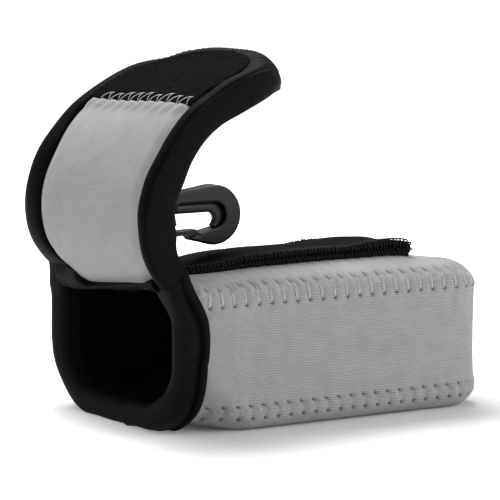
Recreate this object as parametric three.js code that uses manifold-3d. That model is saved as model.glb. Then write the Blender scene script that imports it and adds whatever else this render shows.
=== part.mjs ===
// Camera case: a neoprene pouch that lies on its front panel, with its flap open and curled back,
// a belt loop on its back panel and a plastic snap hook on a webbing tab.
// Millimetres, +Z up. While it is modelled, X runs from the mouth plane (0) to the closed end,
// Y runs across the pouch and Z up from the table. The finished group is moved so that the
// origin is the middle of the pouch's underside.

import * as THREE from 'three';
import { mergeVertices } from 'three/addons/utils/BufferGeometryUtils.js';
import Module from 'manifold-3d';

const wasm = await Module();
wasm.setup();

const DEG = Math.PI / 180;

// Clearance between pieces that rest on or in each other
const GAP = 0.3;

// Pouch: a rounded box of one neoprene thickness, wider and rounder at its mouth
const POUCH_LENGTH = 145;
const POUCH_WIDTH = 91;
const POUCH_HEIGHT = 60;
const POUCH_CROWN = 1;
const NEOPRENE = 5;
const PLAN_CORNER = 18;
const TOP_EDGE_SIDE = 20;
const TOP_EDGE_END = 16;
const TOP_EDGE_DROP = 12.5;
const BOTTOM_EDGE_SIDE = 9;
const BOTTOM_EDGE_END = 8;
const BOTTOM_EDGE_RISE = 7;
const SEAM_ABOVE_TABLE = 7.5;
const SEAM_BELOW_TOP = 11.5;
const SMALLEST_CORNER = 0.6;

// Mouth of the pouch
const MOUTH_WIDTH = 94.6;
const MOUTH_HEIGHT = 58.5;
const MOUTH_LIFT = 2;
const MOUTH_BOTTOM_CORNER = 26;
const MOUTH_TOP_CORNER = 7.5;
const MOUTH_EDGE = 4.5;
const FLARE_START = 12;
const FLARE_END = 36;
const BACK_RISE_END = 66;

// Binding round the mouth: a channel that grips the wall's edge
const BINDING_LEAF = 1.7;
const MOUTH_BINDING_OUTER = 13.5;
const MOUTH_BINDING_INNER = 9;
const BINDING_BEVEL_RUN = 1;
const BINDING_BEVEL_RISE = 0.5;
const MOUTH_SCOOP = 2.4;
const MOUTH_LEAN_START = 42;
const MOUTH_NOSE = 3.2;
const TOP_BINDING_DEPTH = 9;
const TOP_BINDING_DROP = 3.2;
const TOP_BINDING_LEAN = 1.2;
const TOP_BINDING_ROUND = 2;

// Lining of the pouch
const LINING = 1;

// Hook-and-loop: the loop patch is let into the front panel, the hook patch is on the flap
const LOOP_PATCH_START = 30;
const LOOP_PATCH_LENGTH = 42;
const LOOP_PATCH_WIDTH = 70;
const LOOP_PATCH_THICKNESS = 1.3;
const HOOK_PATCH_START = 75;
const HOOK_PATCH_PROUD = 0.7;
const HOOK_PATCH_THICKNESS = 1.2;
const HOOK_PATCH_BEVEL = 0.4;

// Flap: rigid stretches joined at hinge lines on its inner face, each with its own bend at rest
const HINGE_LEAD = 2;
const HINGE_DROP = 1.5;
const FLAP_START_ANGLE = 136;
const FLAP_STRETCH = 22;
const FLAP_BEND_ANGLES = [41, 33, 20, 15, 12.5, 5.5];
const FLAP_OVERHANG = 1.5;
const FLAP_TIP_CORNER = 40;
const FLAP_THICKNESS = 10.5;
const FLAP_INNER_LAYER = 3.3;
const FLAP_BINDING_WALL = 1.5;
const FLAP_BINDING_INNER = 8.5;
const FLAP_BINDING_OUTER = 11;
const FLAP_EDGE_ROUND = 2.6;
const FLAP_FACE_SINK = 0.3;
const FLAP_FACE_STEP = 1.4;
const FLAP_LIP_RUN = 0.8;
const FLAP_LIP_RISE = 0.4;
const FLAP_STATION = 4;

// Belt loop: one strip folded at its far end, both ends sewn down towards the mouth. It lies flat
// under the hook and stands open further back, where a belt goes through it from side to side
const BELT_LOOP_START = 17;
const BELT_LOOP_END = 116;
const BELT_LOOP_HALF_WIDTH = 29;
const BELT_STRIP = 1.4;
const BELT_SLOT_REST = 0.8;
const BELT_SLOT_OPEN = 4.8;
const BELT_SLOT_END_MARGIN = 5;
const BELT_RISE_START = 57;
const BELT_RISE_END = 71;
const BELT_FALL_START = 101;

// Webbing tab that carries the snap hook
const TAB_WIDTH = 19;
const TAB_STRIP = 1.3;
const TAB_ROOT_X = 12.4;
const TAB_FOOT_HALF = 1.9;
const TAB_FOOT_SLOPE = 0.6;
const TAB_FOOT_BEVEL_RUN = 0.9;
const TAB_FOOT_BEVEL_RISE = 0.5;
const TAB_LEAN = 1;
const TAB_NECK_GAP = 0.5;

// Snap hook, lying along X with its eye's bar across it
const EYE_BAR_X = 9.6;
const HOOK_ABOVE_STRAP = 1.06;
const EYE_BAR_RADIUS = 1.7;
const EYE_WINDOW = 4.4;
const EYE_RAIL = 2.2;
const EYE_HEIGHT = 4.6;
const EYE_YOKE = 3.4;
const SOCKET_RADIUS = 5.2;
const STEM_RADIUS = 2.6;
const STEM_HEAD_RADIUS = 3.9;
const STEM_HEAD = 1.5;
const STEM_CLEARANCE = 0.35;
const KNUCKLE = 7;
const HOOK_THICKNESS = 7;
const HOOK_BEVEL = 0.9;
const HOOK_CENTRE_X = 44.2;
const HOOK_RADIUS = 11.6;
const HOOK_SLOT_RADIUS = 4.9;
const HOOK_ARM_ROOT = 8.3;
const HOOK_NOSE_REACH = 11.4;
const HOOK_NOSE_LIP = 4.2;
const HOOK_CORNER = 1.6;
const HOOK_ARM_FILLET = 3;
const HOOK_GATE_SEAT = 1;
const HOOK_NOSE_RISE = 0.2;
const HOOK_NOSE_BEVEL_RUN = 1.4;
const HOOK_NOSE_BEVEL_DROP = 1.7;
const CHAMFER = 0.6;
const STEM_HEAD_CHAMFER = 0.5;
const OVERRUN = 1;
const GATE_BELOW_SLOT = 0.6;
const GATE_THICKNESS = 2;
const GATE_WIDTH = 5;
const GATE_BARB = 1.3;
const GATE_BEVEL = 0.3;

// Colours and finishes
const GREY = 0xa9a9ab;
const BLACK = 0x1b1b1d;
const PLASTIC = 0x2b2b2d;

// Plain helpers

const point = (x, y, z) => new THREE.Vector3(x, y, z);

function ease(from, to, x) {
  const t = THREE.MathUtils.clamp((x - from) / (to - from), 0, 1);
  return t * t * (3 - 2 * t);
}

function steps(from, to, count) {
  return Array.from({ length: count + 1 }, (unused, i) => from + ((to - from) * i) / count);
}

// Quarter or part of an ellipse as [u, v] points, both ends included
function arc(cu, cv, ru, rv, fromDeg, toDeg, count) {
  return steps(fromDeg, toDeg, count).map((a) => [cu + ru * Math.cos(a * DEG), cv + rv * Math.sin(a * DEG)]);
}

// A closed body from positions and triangles, turned so that its faces point out
function body(positions, triangles) {
  let volume = 0;
  const cross = new THREE.Vector3();
  for (const [a, b, c] of triangles) {
    volume += positions[a].dot(cross.crossVectors(positions[b], positions[c]));
  }
  const outward = volume > 0 ? triangles : triangles.map(([a, b, c]) => [a, c, b]);
  const coordinates = positions.flatMap((p) => p.toArray());
  const geometry = new THREE.BufferGeometry();
  geometry.setAttribute('position', new THREE.Float32BufferAttribute(coordinates, 3));
  geometry.setIndex(outward.flat());
  return geometry;
}

// Triangles that close a flat outline, each with its corners in the outline's own order
function capOf(outline) {
  const flat = outline.map(([u, v]) => new THREE.Vector2(u, v));
  return THREE.ShapeUtils.triangulateShape(flat, []).map((triangle) => [...triangle].sort((p, q) => p - q));
}

// The same for an outline whose second half mirrors its first: rungs between mirrored points
function mirroredCap(count) {
  return Array.from({ length: count / 2 - 1 }, (unused, i) => [
    [i, i + 1, count - 2 - i],
    [i, count - 2 - i, count - 1 - i],
  ]).flat();
}

// A loft through rings of equal count, closed at both ends by the cap's triangles
function loft(rings, cap) {
  const count = rings[0].length;
  const last = (rings.length - 1) * count;
  const triangles = [];
  for (let start = 0; start < last; start += count) {
    for (let i = 0; i < count; i += 1) {
      const j = (i + 1) % count;
      const next = start + count;
      triangles.push([start + i, start + j, next + j], [start + i, next + j, next + i]);
    }
  }
  for (const [a, b, c] of cap) triangles.push([a, c, b], [last + a, last + b, last + c]);
  return body(rings.flat(), triangles);
}

function solid(geometry) {
  const bare = geometry.clone();
  bare.deleteAttribute('normal');
  bare.deleteAttribute('uv');
  const merged = mergeVertices(bare, 1e-4);
  return new wasm.Manifold(new wasm.Mesh({
    numProp: 3,
    vertProperties: new Float32Array(merged.attributes.position.array),
    triVerts: new Uint32Array(merged.index.array),
  }));
}

function geometryOf(manifold) {
  const mesh = manifold.getMesh();
  const geometry = new THREE.BufferGeometry();
  geometry.setAttribute('position', new THREE.Float32BufferAttribute(mesh.vertProperties, 3));
  geometry.setIndex(Array.from(mesh.triVerts));
  return geometry;
}

// A prism with an outline in X and Z, from y0 to y1
function prismXZ(outline, y0, y1) {
  return loft([y0, y1].map((y) => outline.map(([x, z]) => point(x, y, z))), capOf(outline));
}

function block(x0, x1, y0, y1, z0, z1) {
  const geometry = new THREE.BoxGeometry(x1 - x0, y1 - y0, z1 - z0);
  geometry.translate((x0 + x1) / 2, (y0 + y1) / 2, (z0 + z1) / 2);
  return geometry;
}

// Pouch sections

// How far a rounded end has drawn in at x, for a rounding of `run` along X and `depth` across
function endRounding(x, inset, run, depth) {
  const past = Math.max(0, x - (POUCH_LENGTH - run)) / (run - inset);
  return (depth - inset) * (1 - Math.sqrt(Math.max(0, 1 - past * past)));
}

// The pouch's cross-section at x, drawn in by inset: [y, z] points from the bottom middle,
// up the near side, over the back panel and down the far side
function pouchSection(x, inset) {
  const flare = ease(FLARE_START, FLARE_END, x);
  const mix = (mouth, rest) => mouth + (rest - mouth) * flare;
  const half = mix(MOUTH_WIDTH, POUCH_WIDTH) / 2 - inset - endRounding(x, inset, PLAN_CORNER, PLAN_CORNER);
  const bottomRise = mix(MOUTH_BOTTOM_CORNER, BOTTOM_EDGE_RISE);
  const topDrop = mix(MOUTH_TOP_CORNER, TOP_EDGE_DROP);
  const floor = mix(MOUTH_LIFT, 0);
  const bottomEnd = endRounding(x, inset, BOTTOM_EDGE_END, bottomRise);
  const topEnd = endRounding(x, inset, TOP_EDGE_END, topDrop);
  const bottomZ = Math.max(SMALLEST_CORNER, bottomRise - inset - bottomEnd);
  const topZ = Math.max(SMALLEST_CORNER, topDrop - inset - topEnd);
  const bottomY = Math.max(SMALLEST_CORNER, mix(MOUTH_BOTTOM_CORNER, BOTTOM_EDGE_SIDE) - inset);
  const topY = Math.max(SMALLEST_CORNER, mix(MOUTH_TOP_CORNER, TOP_EDGE_SIDE) - inset);
  const lowSide = floor + bottomRise;
  const height = MOUTH_HEIGHT + (POUCH_HEIGHT - MOUTH_HEIGHT) * ease(FLARE_START, BACK_RISE_END, x);
  const highSide = height - topDrop;
  const nearBottom = arc(-half + bottomY, lowSide, bottomY, bottomZ, 270, 180, 7);
  const nearTop = arc(-half + topY, highSide, topY, topZ, 180, 90, 8);
  const flat = half - topY;
  const top = highSide + topZ;
  const crown = steps(-1, 1, 7).slice(1, -1).map((t) => [t * flat, top + POUCH_CROWN * (1 - t * t)]);
  const mirror = (points) => points.map(([y, z]) => [-y, z]).reverse();
  return [...nearBottom, ...nearTop, ...crown, ...mirror(nearTop), ...mirror(nearBottom)];
}

function pouchStations(start, inset) {
  const cornerStart = POUCH_LENGTH - PLAN_CORNER;
  const sweep = steps(0, 90, 8).map((a) => cornerStart + (PLAN_CORNER - inset) * Math.sin(a * DEG));
  const flare = steps(Math.max(start, FLARE_START), FLARE_END, 6);
  const plain = steps(FLARE_END, cornerStart, 3).slice(1, -1);
  return start < FLARE_START ? [start, ...flare, ...plain, ...sweep] : [...flare, ...plain, ...sweep];
}

// The pouch's outer form drawn in by inset, from x = start to the closed end
function pouchForm(start, inset) {
  const rings = pouchStations(start, inset).map((x) => (
    pouchSection(x, inset).map(([y, z]) => point(x, y, z))
  ));
  return solid(loft(rings, mirroredCap(rings[0].length)));
}

// Top of the back panel at x and y, for pieces that lie on it
function backPanelHeight(x, y) {
  const outline = pouchSection(x, 0);
  const top = outline.filter(([, z]) => z > POUCH_HEIGHT / 2).sort((p, q) => p[0] - q[0]);
  const i = Math.max(1, top.findIndex(([py]) => py >= y));
  const [[y0, z0], [y1, z1]] = [top[i - 1], top[i]];
  return z0 + ((z1 - z0) * (y - y0)) / (y1 - y0);
}

// Flap frame: s runs along the inner face from the hinge, n from the inner face to the outer face

const HINGE_X = -HINGE_LEAD;
const HINGE_Z = MOUTH_HEIGHT - HINGE_DROP;
const flapHalfWidth = MOUTH_WIDTH / 2 + FLAP_OVERHANG;
const FLAP_LENGTH = FLAP_STRETCH * FLAP_BEND_ANGLES.length;

function flapFrame(s) {
  let x = HINGE_X;
  let z = HINGE_Z;
  let angle = FLAP_START_ANGLE * DEG;
  let left = s;
  for (const bend of FLAP_BEND_ANGLES) {
    const run = Math.min(left, FLAP_STRETCH);
    const turn = (bend * DEG * run) / FLAP_STRETCH;
    const radius = FLAP_STRETCH / (bend * DEG);
    x += radius * (Math.sin(angle) - Math.sin(angle - turn));
    z += radius * (Math.cos(angle - turn) - Math.cos(angle));
    angle -= turn;
    left -= run;
    if (left <= 0) break;
  }
  return { x, z, tangent: [Math.cos(angle), Math.sin(angle)], normal: [Math.sin(angle), -Math.cos(angle)] };
}

function onFlap(s, y, n) {
  const { x, z, normal } = flapFrame(s);
  return point(x + n * normal[0], y, z + n * normal[1]);
}

// [x, z] beside the flap: shift along the tangent at s and n from the inner face
function besideFlap(s, shift, n) {
  const { x, z, tangent, normal } = flapFrame(s);
  return [x + shift * tangent[0] + n * normal[0], z + shift * tangent[1] + n * normal[1]];
}

// Outline in X and Z of the space between two cuts across the flap
function flapWedge(s0, s1, reach) {
  return [
    besideFlap(s0, GAP / 2, -reach), besideFlap(s0, GAP / 2, FLAP_THICKNESS + reach),
    besideFlap(s1, -GAP / 2, FLAP_THICKNESS + reach), besideFlap(s1, -GAP / 2, -reach),
  ];
}

// Everything of a body that lies on the pouch's side of the flap's root
function trimAtRoot(manifold) {
  const reach = POUCH_WIDTH;
  const start = -GAP / 2;
  const beyond = [
    besideFlap(0, start, -reach), besideFlap(0, start, reach),
    besideFlap(0, reach, reach), besideFlap(0, reach, -reach),
  ];
  return manifold.subtract(solid(prismXZ(beyond, -POUCH_WIDTH, POUCH_WIDTH)));
}

// Stations up the flap: along its straight edge, then round its tip corner by angle
const TIP_START = FLAP_LENGTH - FLAP_TIP_CORNER;
const TIP_FLAT = flapHalfWidth - FLAP_TIP_CORNER;

function flapStations(from = 0) {
  const straight = steps(from, TIP_START, Math.ceil((TIP_START - from) / FLAP_STATION));
  const tip = steps(0, 90, 9).slice(1);
  return [...straight.map((s) => ({ s, turn: 0 })), ...tip.map((a) => ({ s: TIP_START, turn: a * DEG }))];
}

// Place at a station, e in from the flap's edge: [s, distance from the middle line]
function flapEdge({ s, turn }, e) {
  const radius = FLAP_TIP_CORNER - e;
  return [s + radius * Math.sin(turn), TIP_FLAT + radius * Math.cos(turn)];
}

function flapRing(station, across, side) {
  return across.map(([e, n]) => {
    const [s, half] = flapEdge(station, e);
    return onFlap(s, side * half, n);
  });
}

// A layer of the flap: across is a list of [distance in from the edge, n] for the near half of its section
function flapLayer(across, from = 0) {
  const rings = flapStations(from).map((station) => (
    [...flapRing(station, across, -1), ...flapRing(station, across, 1).reverse()]
  ));
  return solid(loft(rings, mirroredCap(rings[0].length)));
}

// Shell of the pouch

function pouchShell() {
  return trimAtRoot(pouchForm(MOUTH_EDGE, 0).subtract(pouchForm(0, NEOPRENE)));
}

function betweenHeights(manifold, low, high) {
  const side = POUCH_WIDTH;
  const slab = block(-side, POUCH_LENGTH + side, -side, side, low, high);
  return manifold.intersect(solid(slab));
}

const topSeamZ = POUCH_HEIGHT - SEAM_BELOW_TOP;

function frontPanel() {
  const panel = betweenHeights(pouchShell(), -POUCH_HEIGHT, SEAM_ABOVE_TABLE - GAP / 2);
  const recess = block(
    LOOP_PATCH_START - GAP, LOOP_PATCH_START + LOOP_PATCH_LENGTH + GAP,
    -LOOP_PATCH_WIDTH / 2 - GAP, LOOP_PATCH_WIDTH / 2 + GAP,
    -POUCH_HEIGHT, LOOP_PATCH_THICKNESS + GAP,
  );
  return geometryOf(panel.subtract(solid(recess)));
}

function sideGusset() {
  return geometryOf(betweenHeights(pouchShell(), SEAM_ABOVE_TABLE + GAP / 2, topSeamZ - GAP / 2));
}

function backPanel() {
  return geometryOf(betweenHeights(pouchShell(), topSeamZ + GAP / 2, POUCH_HEIGHT + POUCH_WIDTH));
}

function pouchLining() {
  const outer = pouchForm(MOUTH_BINDING_INNER + GAP, NEOPRENE + GAP);
  return geometryOf(outer.subtract(pouchForm(0, NEOPRENE + GAP + LINING)));
}

function loopPatch() {
  return block(
    LOOP_PATCH_START, LOOP_PATCH_START + LOOP_PATCH_LENGTH,
    -LOOP_PATCH_WIDTH / 2, LOOP_PATCH_WIDTH / 2,
    0, LOOP_PATCH_THICKNESS,
  );
}

// Mouth binding: near side, bottom and far side in one run, open at the top where the flap starts

function mouthPath() {
  const half = MOUTH_WIDTH / 2;
  const corner = MOUTH_BOTTOM_CORNER;
  const low = MOUTH_LIFT + corner;
  const high = MOUTH_HEIGHT + FLAP_THICKNESS;
  const near = steps(high, low, 9).slice(0, -1).map((z) => [-half, z, -1, 0]);
  const nearArc = steps(180, 270, 8).map((a) => {
    const [c, s] = [Math.cos(a * DEG), Math.sin(a * DEG)];
    return [-half + corner + corner * c, low + corner * s, c, s];
  });
  const mirror = (stations) => stations.map(([y, z, ny, nz]) => [-y, z, -ny, nz]).reverse();
  return [...near, ...nearArc, ...mirror(nearArc), ...mirror(near)];
}

// The binding's front edge leans forward at the top, to the hinge, and is scooped at mid height
function mouthFront(z) {
  const lean = (MOUTH_SCOOP + HINGE_LEAD) * ease(MOUTH_LEAN_START, MOUTH_HEIGHT, z);
  return MOUTH_SCOOP * ease(0, MOUTH_BOTTOM_CORNER, z) - lean;
}

// Its back edge runs up to the corner where the flap's outer face starts
function mouthBack(z) {
  const [cornerX, cornerZ] = besideFlap(0, 0, FLAP_THICKNESS);
  const rise = ease(MOUTH_LEAN_START, cornerZ, z);
  return MOUTH_BINDING_OUTER + (cornerX - MOUTH_BINDING_OUTER) * rise;
}

// Channel section at one station as [x, distance out from the wall's outer surface]
function mouthChannel(z) {
  const front = mouthFront(z);
  const back = mouthBack(z);
  const out = GAP + BINDING_LEAF;
  const inn = -NEOPRENE - GAP - BINDING_LEAF;
  const web = MOUTH_EDGE - GAP;
  const inner = Math.min(MOUTH_BINDING_INNER, back);
  return [
    [back, GAP], [back, out - BINDING_BEVEL_RISE], [back - BINDING_BEVEL_RUN, out],
    ...arc(front + MOUTH_NOSE, out - MOUTH_NOSE, MOUTH_NOSE, MOUTH_NOSE, 90, 180, 4),
    ...arc(front + MOUTH_NOSE, inn + MOUTH_NOSE, MOUTH_NOSE, MOUTH_NOSE, 180, 270, 4),
    [inner, inn], [inner, -NEOPRENE - GAP],
    [web, -NEOPRENE - GAP], [web, GAP],
  ];
}

function mouthBinding() {
  const rings = mouthPath().map(([y, z, ny, nz]) => (
    mouthChannel(z).map(([x, out]) => point(x, y + out * ny, z + out * nz))
  ));
  const grownWall = pouchForm(MOUTH_EDGE - GAP, -GAP).subtract(pouchForm(0, NEOPRENE + GAP));
  return geometryOf(trimAtRoot(solid(loft(rings, capOf(mouthChannel(0))))).subtract(grownWall));
}

// Strip that closes the mouth's top edge, under the flap's hinge. Its front leans back, clear of
// the flap when that is closed
function mouthTopBinding() {
  const ceiling = MOUTH_HEIGHT - NEOPRENE - GAP;
  const low = ceiling - BINDING_LEAF;
  const drop = HINGE_Z - TOP_BINDING_DROP;
  const web = MOUTH_EDGE - GAP;
  const lip = HINGE_X + GAP;
  const high = MOUTH_HEIGHT + FLAP_THICKNESS;
  const lean = lip + TOP_BINDING_LEAN;
  const round = TOP_BINDING_ROUND;
  const outline = [
    [web, ceiling], [web, high], [lip, high], [lip, HINGE_Z], [lean, drop],
    ...arc(lean + round, drop, round, drop - low + BINDING_LEAF, 180, 270, 4).slice(1),
    [TOP_BINDING_DEPTH, low], [TOP_BINDING_DEPTH, ceiling],
  ];
  const half = MOUTH_WIDTH / 2 - NEOPRENE - 2 * GAP - BINDING_LEAF;
  return geometryOf(trimAtRoot(solid(prismXZ(outline, -half, half))));
}

// Flap layers

const bindingInside = FLAP_BINDING_WALL + GAP;
const layerSplit = bindingInside + FLAP_INNER_LAYER;

// The grey inner layer: gripped at its edge, crowned to the binding's level, let down under the patch
function flapInnerLayer() {
  return flapLayer([
    [FLAP_BINDING_INNER + GAP + FLAP_FACE_STEP, FLAP_FACE_SINK],
    [FLAP_BINDING_INNER + GAP, bindingInside],
    [bindingInside, bindingInside],
    [bindingInside, layerSplit],
  ]);
}

function flapOuterLayer() {
  return flapLayer([
    [bindingInside, layerSplit + GAP],
    [bindingInside, FLAP_THICKNESS - bindingInside],
    [FLAP_BINDING_OUTER + GAP, FLAP_THICKNESS - bindingInside],
    [FLAP_BINDING_OUTER + GAP + FLAP_FACE_STEP, FLAP_THICKNESS - FLAP_FACE_SINK],
  ]);
}

function flapPatchLayer() {
  const edge = FLAP_BINDING_INNER + GAP;
  const base = HOOK_PATCH_THICKNESS - HOOK_PATCH_PROUD;
  const across = [
    [edge + HOOK_PATCH_BEVEL, -HOOK_PATCH_PROUD], [edge, HOOK_PATCH_BEVEL - HOOK_PATCH_PROUD], [edge, base],
  ];
  return flapLayer(across, HOOK_PATCH_START);
}

// Room under the patch, cut out of the inner layer
function flapPatchRoom() {
  const edge = FLAP_BINDING_INNER;
  const base = HOOK_PATCH_THICKNESS - HOOK_PATCH_PROUD + GAP;
  return flapLayer([[edge, -FLAP_THICKNESS], [edge, base]], HOOK_PATCH_START - GAP);
}

// Channel that runs up the near edge, round the tip and down the far edge
function flapBindingLayer() {
  const r = FLAP_EDGE_ROUND;
  const channel = [
    [FLAP_BINDING_INNER, FLAP_BINDING_WALL], [FLAP_BINDING_INNER, FLAP_LIP_RISE],
    [FLAP_BINDING_INNER - FLAP_LIP_RUN, 0],
    ...arc(r, r, r, r, 270, 180, 3),
    ...arc(r, FLAP_THICKNESS - r, r, r, 180, 90, 3),
    [FLAP_BINDING_OUTER - FLAP_LIP_RUN, FLAP_THICKNESS], [FLAP_BINDING_OUTER, FLAP_THICKNESS - FLAP_LIP_RISE],
    [FLAP_BINDING_OUTER, FLAP_THICKNESS - FLAP_BINDING_WALL],
    [FLAP_BINDING_WALL, FLAP_THICKNESS - FLAP_BINDING_WALL], [FLAP_BINDING_WALL, FLAP_BINDING_WALL],
  ];
  const near = flapStations().map((station) => flapRing(station, channel, -1));
  const far = flapStations().map((station) => flapRing(station, channel, 1)).reverse();
  return solid(loft([...near, ...far], capOf(channel)));
}

// Belt loop

// How far the slot stands open at x: 0 where the strip lies flat, 1 where the belt goes
function beltOpenness(x) {
  const rise = ease(BELT_RISE_START, BELT_RISE_END, x);
  return rise * (1 - ease(BELT_FALL_START, BELT_LOOP_END, x));
}

// Height of the lower leaf's underside. The upper leaf follows it where the slot is flat, and
// is level from side to side where it stands open
const lowerLeaf = (x, y) => backPanelHeight(Math.min(x, BELT_LOOP_END), y) + GAP;

function upperLeaf(x, y) {
  const open = beltOpenness(x);
  const level = lowerLeaf(x, y) + (lowerLeaf(x, 0) - lowerLeaf(x, y)) * open;
  return level + BELT_STRIP + BELT_SLOT_REST + (BELT_SLOT_OPEN - BELT_SLOT_REST) * open;
}

function beltLoop() {
  const slotStart = BELT_LOOP_START + BELT_SLOT_END_MARGIN;
  const fold = BELT_STRIP + BELT_SLOT_REST / 2;
  const slotEnd = BELT_LOOP_END - fold;
  const xs = steps(slotStart, slotEnd, 22);
  const back = [...xs].reverse();
  const across = (half, ring) => steps(-half, half, 8).map((y) => ring(y).map(([x, z]) => point(x, y, z)));
  const outline = (y) => [
    [BELT_LOOP_START, lowerLeaf(BELT_LOOP_START, y)],
    ...xs.map((x) => [x, lowerLeaf(x, y)]),
    ...arc(slotEnd, lowerLeaf(slotEnd, y) + fold, fold, fold, 270, 450, 6).slice(1, -1),
    ...back.map((x) => [x, upperLeaf(x, y) + BELT_STRIP]),
    [BELT_LOOP_START, upperLeaf(BELT_LOOP_START, y) + BELT_STRIP],
  ];
  const slot = (y) => [
    ...xs.map((x) => [x, lowerLeaf(x, y) + BELT_STRIP]),
    ...back.map((x) => [x, upperLeaf(x, y)]),
  ];
  const strip = solid(loft(across(BELT_LOOP_HALF_WIDTH, outline), capOf(outline(0))));
  return geometryOf(strip.subtract(solid(loft(across(BELT_LOOP_HALF_WIDTH + 1, slot), capOf(slot(0))))));
}

// Places of the snap hook's parts along X, and the height of its axis: the hook lies just clear
// of the strap, under its knuckle and under its round end

const windowStart = EYE_BAR_X + EYE_BAR_RADIUS;
const yokeStart = windowStart + EYE_WINDOW;
const yokeEnd = yokeStart + EYE_YOKE;
const knuckleStart = yokeEnd + GAP;
const knuckleEnd = knuckleStart + KNUCKLE;
const strapTop = (x) => upperLeaf(x, 0) + BELT_STRIP;
const eyeBarZ = HOOK_ABOVE_STRAP + Math.max(
  strapTop(knuckleStart) + HOOK_ARM_ROOT, strapTop(HOOK_CENTRE_X) + HOOK_RADIUS,
);

// Webbing tab: a foot on the back panel, bevelled so that it can tilt, and one strip that goes
// round the eye's bar

const tabBaseZ = backPanelHeight(TAB_ROOT_X, 0) + GAP;

function webbingTab() {
  const inner = EYE_BAR_RADIUS + GAP;
  const outer = inner + TAB_STRIP;
  const footZ = tabBaseZ + TAB_STRIP;
  const stemZ = footZ + TAB_FOOT_SLOPE;
  const neckX = TAB_ROOT_X - TAB_LEAN;
  const neckZ = eyeBarZ - outer * 1.5;
  const eyeletZ = neckZ + TAB_STRIP / 3;
  const soleHalf = TAB_FOOT_HALF - TAB_FOOT_BEVEL_RUN;
  const bevelZ = tabBaseZ + TAB_FOOT_BEVEL_RISE;
  const outline = [
    [TAB_ROOT_X - TAB_FOOT_HALF, bevelZ], [TAB_ROOT_X - soleHalf, tabBaseZ],
    [TAB_ROOT_X + soleHalf, tabBaseZ], [TAB_ROOT_X + TAB_FOOT_HALF, bevelZ],
    [TAB_ROOT_X + TAB_FOOT_HALF, footZ], [TAB_ROOT_X + TAB_STRIP, stemZ],
    [neckX + TAB_STRIP, neckZ],
    ...arc(EYE_BAR_X, eyeBarZ, outer, outer, -30, 210, 12),
    [neckX - TAB_STRIP, neckZ], [TAB_ROOT_X - TAB_STRIP, stemZ],
    [TAB_ROOT_X - TAB_FOOT_HALF, footZ],
  ];
  const eyelet = [
    [neckX + TAB_NECK_GAP / 2, eyeletZ],
    ...arc(EYE_BAR_X, eyeBarZ, inner, inner, -40, 220, 12),
    [neckX - TAB_NECK_GAP / 2, eyeletZ],
  ];
  const strip = solid(prismXZ(outline, -TAB_WIDTH / 2, TAB_WIDTH / 2));
  return geometryOf(strip.subtract(solid(prismXZ(eyelet, -TAB_WIDTH, TAB_WIDTH))));
}

// Snap hook

// A body turned round the hook's long axis: profile is [x, radius] from axis to axis
function turnedAlongX(profile, segments) {
  const lathe = new THREE.LatheGeometry(profile.map(([x, r]) => new THREE.Vector2(r, x)), segments);
  lathe.rotateZ(-Math.PI / 2);
  lathe.translate(0, 0, eyeBarZ);
  return solid(lathe);
}

// An outline in X and Z (heights from the hook's axis) as a plate with bevelled faces
function bevelledPlate(outline, thickness, bevel) {
  const shape = new THREE.Shape(outline.map(([x, h]) => new THREE.Vector2(x, h)));
  const geometry = new THREE.ExtrudeGeometry(shape, {
    depth: thickness - 2 * bevel, bevelEnabled: bevel > 0, bevelThickness: bevel, bevelSize: bevel,
    bevelOffset: -bevel, bevelSegments: 2, steps: 1, curveSegments: 1,
  });
  geometry.translate(0, 0, bevel - thickness / 2);
  geometry.rotateX(Math.PI / 2);
  geometry.translate(0, 0, eyeBarZ);
  return solid(geometry);
}

// Eye: bar, two rails and a yoke with the socket that the hook's stem turns in
function hookEye() {
  const half = TAB_WIDTH / 2 + GAP + EYE_RAIL;
  const bar = new THREE.CylinderGeometry(EYE_BAR_RADIUS, EYE_BAR_RADIUS, 2 * half, 20);
  bar.translate(EYE_BAR_X, 0, eyeBarZ);
  const low = eyeBarZ - EYE_HEIGHT / 2;
  const high = eyeBarZ + EYE_HEIGHT / 2;
  const railEnd = yokeEnd - CHAMFER;
  const railStart = EYE_BAR_X - EYE_BAR_RADIUS;
  const rails = [-half, half - EYE_RAIL].map((y) => (
    solid(block(railStart, railEnd, y, y + EYE_RAIL, low, high))
  ));
  const yoke = solid(block(yokeStart, railEnd, -half, half, low, high));
  const socket = turnedAlongX([
    [yokeStart, 0], [yokeStart, SOCKET_RADIUS - CHAMFER], [yokeStart + CHAMFER, SOCKET_RADIUS],
    [yokeEnd - CHAMFER, SOCKET_RADIUS], [yokeEnd, SOCKET_RADIUS - CHAMFER], [yokeEnd, 0],
  ], 24);
  const boreRadius = STEM_RADIUS + STEM_CLEARANCE;
  const bore = turnedAlongX([
    [yokeStart - OVERRUN, 0], [yokeStart - OVERRUN, boreRadius],
    [yokeEnd + OVERRUN, boreRadius], [yokeEnd + OVERRUN, 0],
  ], 24);
  return geometryOf(solid(bar).add(rails[0]).add(rails[1]).add(yoke).add(socket).subtract(bore));
}

const gateTop = -HOOK_SLOT_RADIUS - GATE_BELOW_SLOT;
const gateBottom = gateTop - GATE_THICKNESS;
const noseTipX = HOOK_CENTRE_X - HOOK_NOSE_REACH;
const gateTipX = noseTipX + HOOK_NOSE_LIP;

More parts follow.
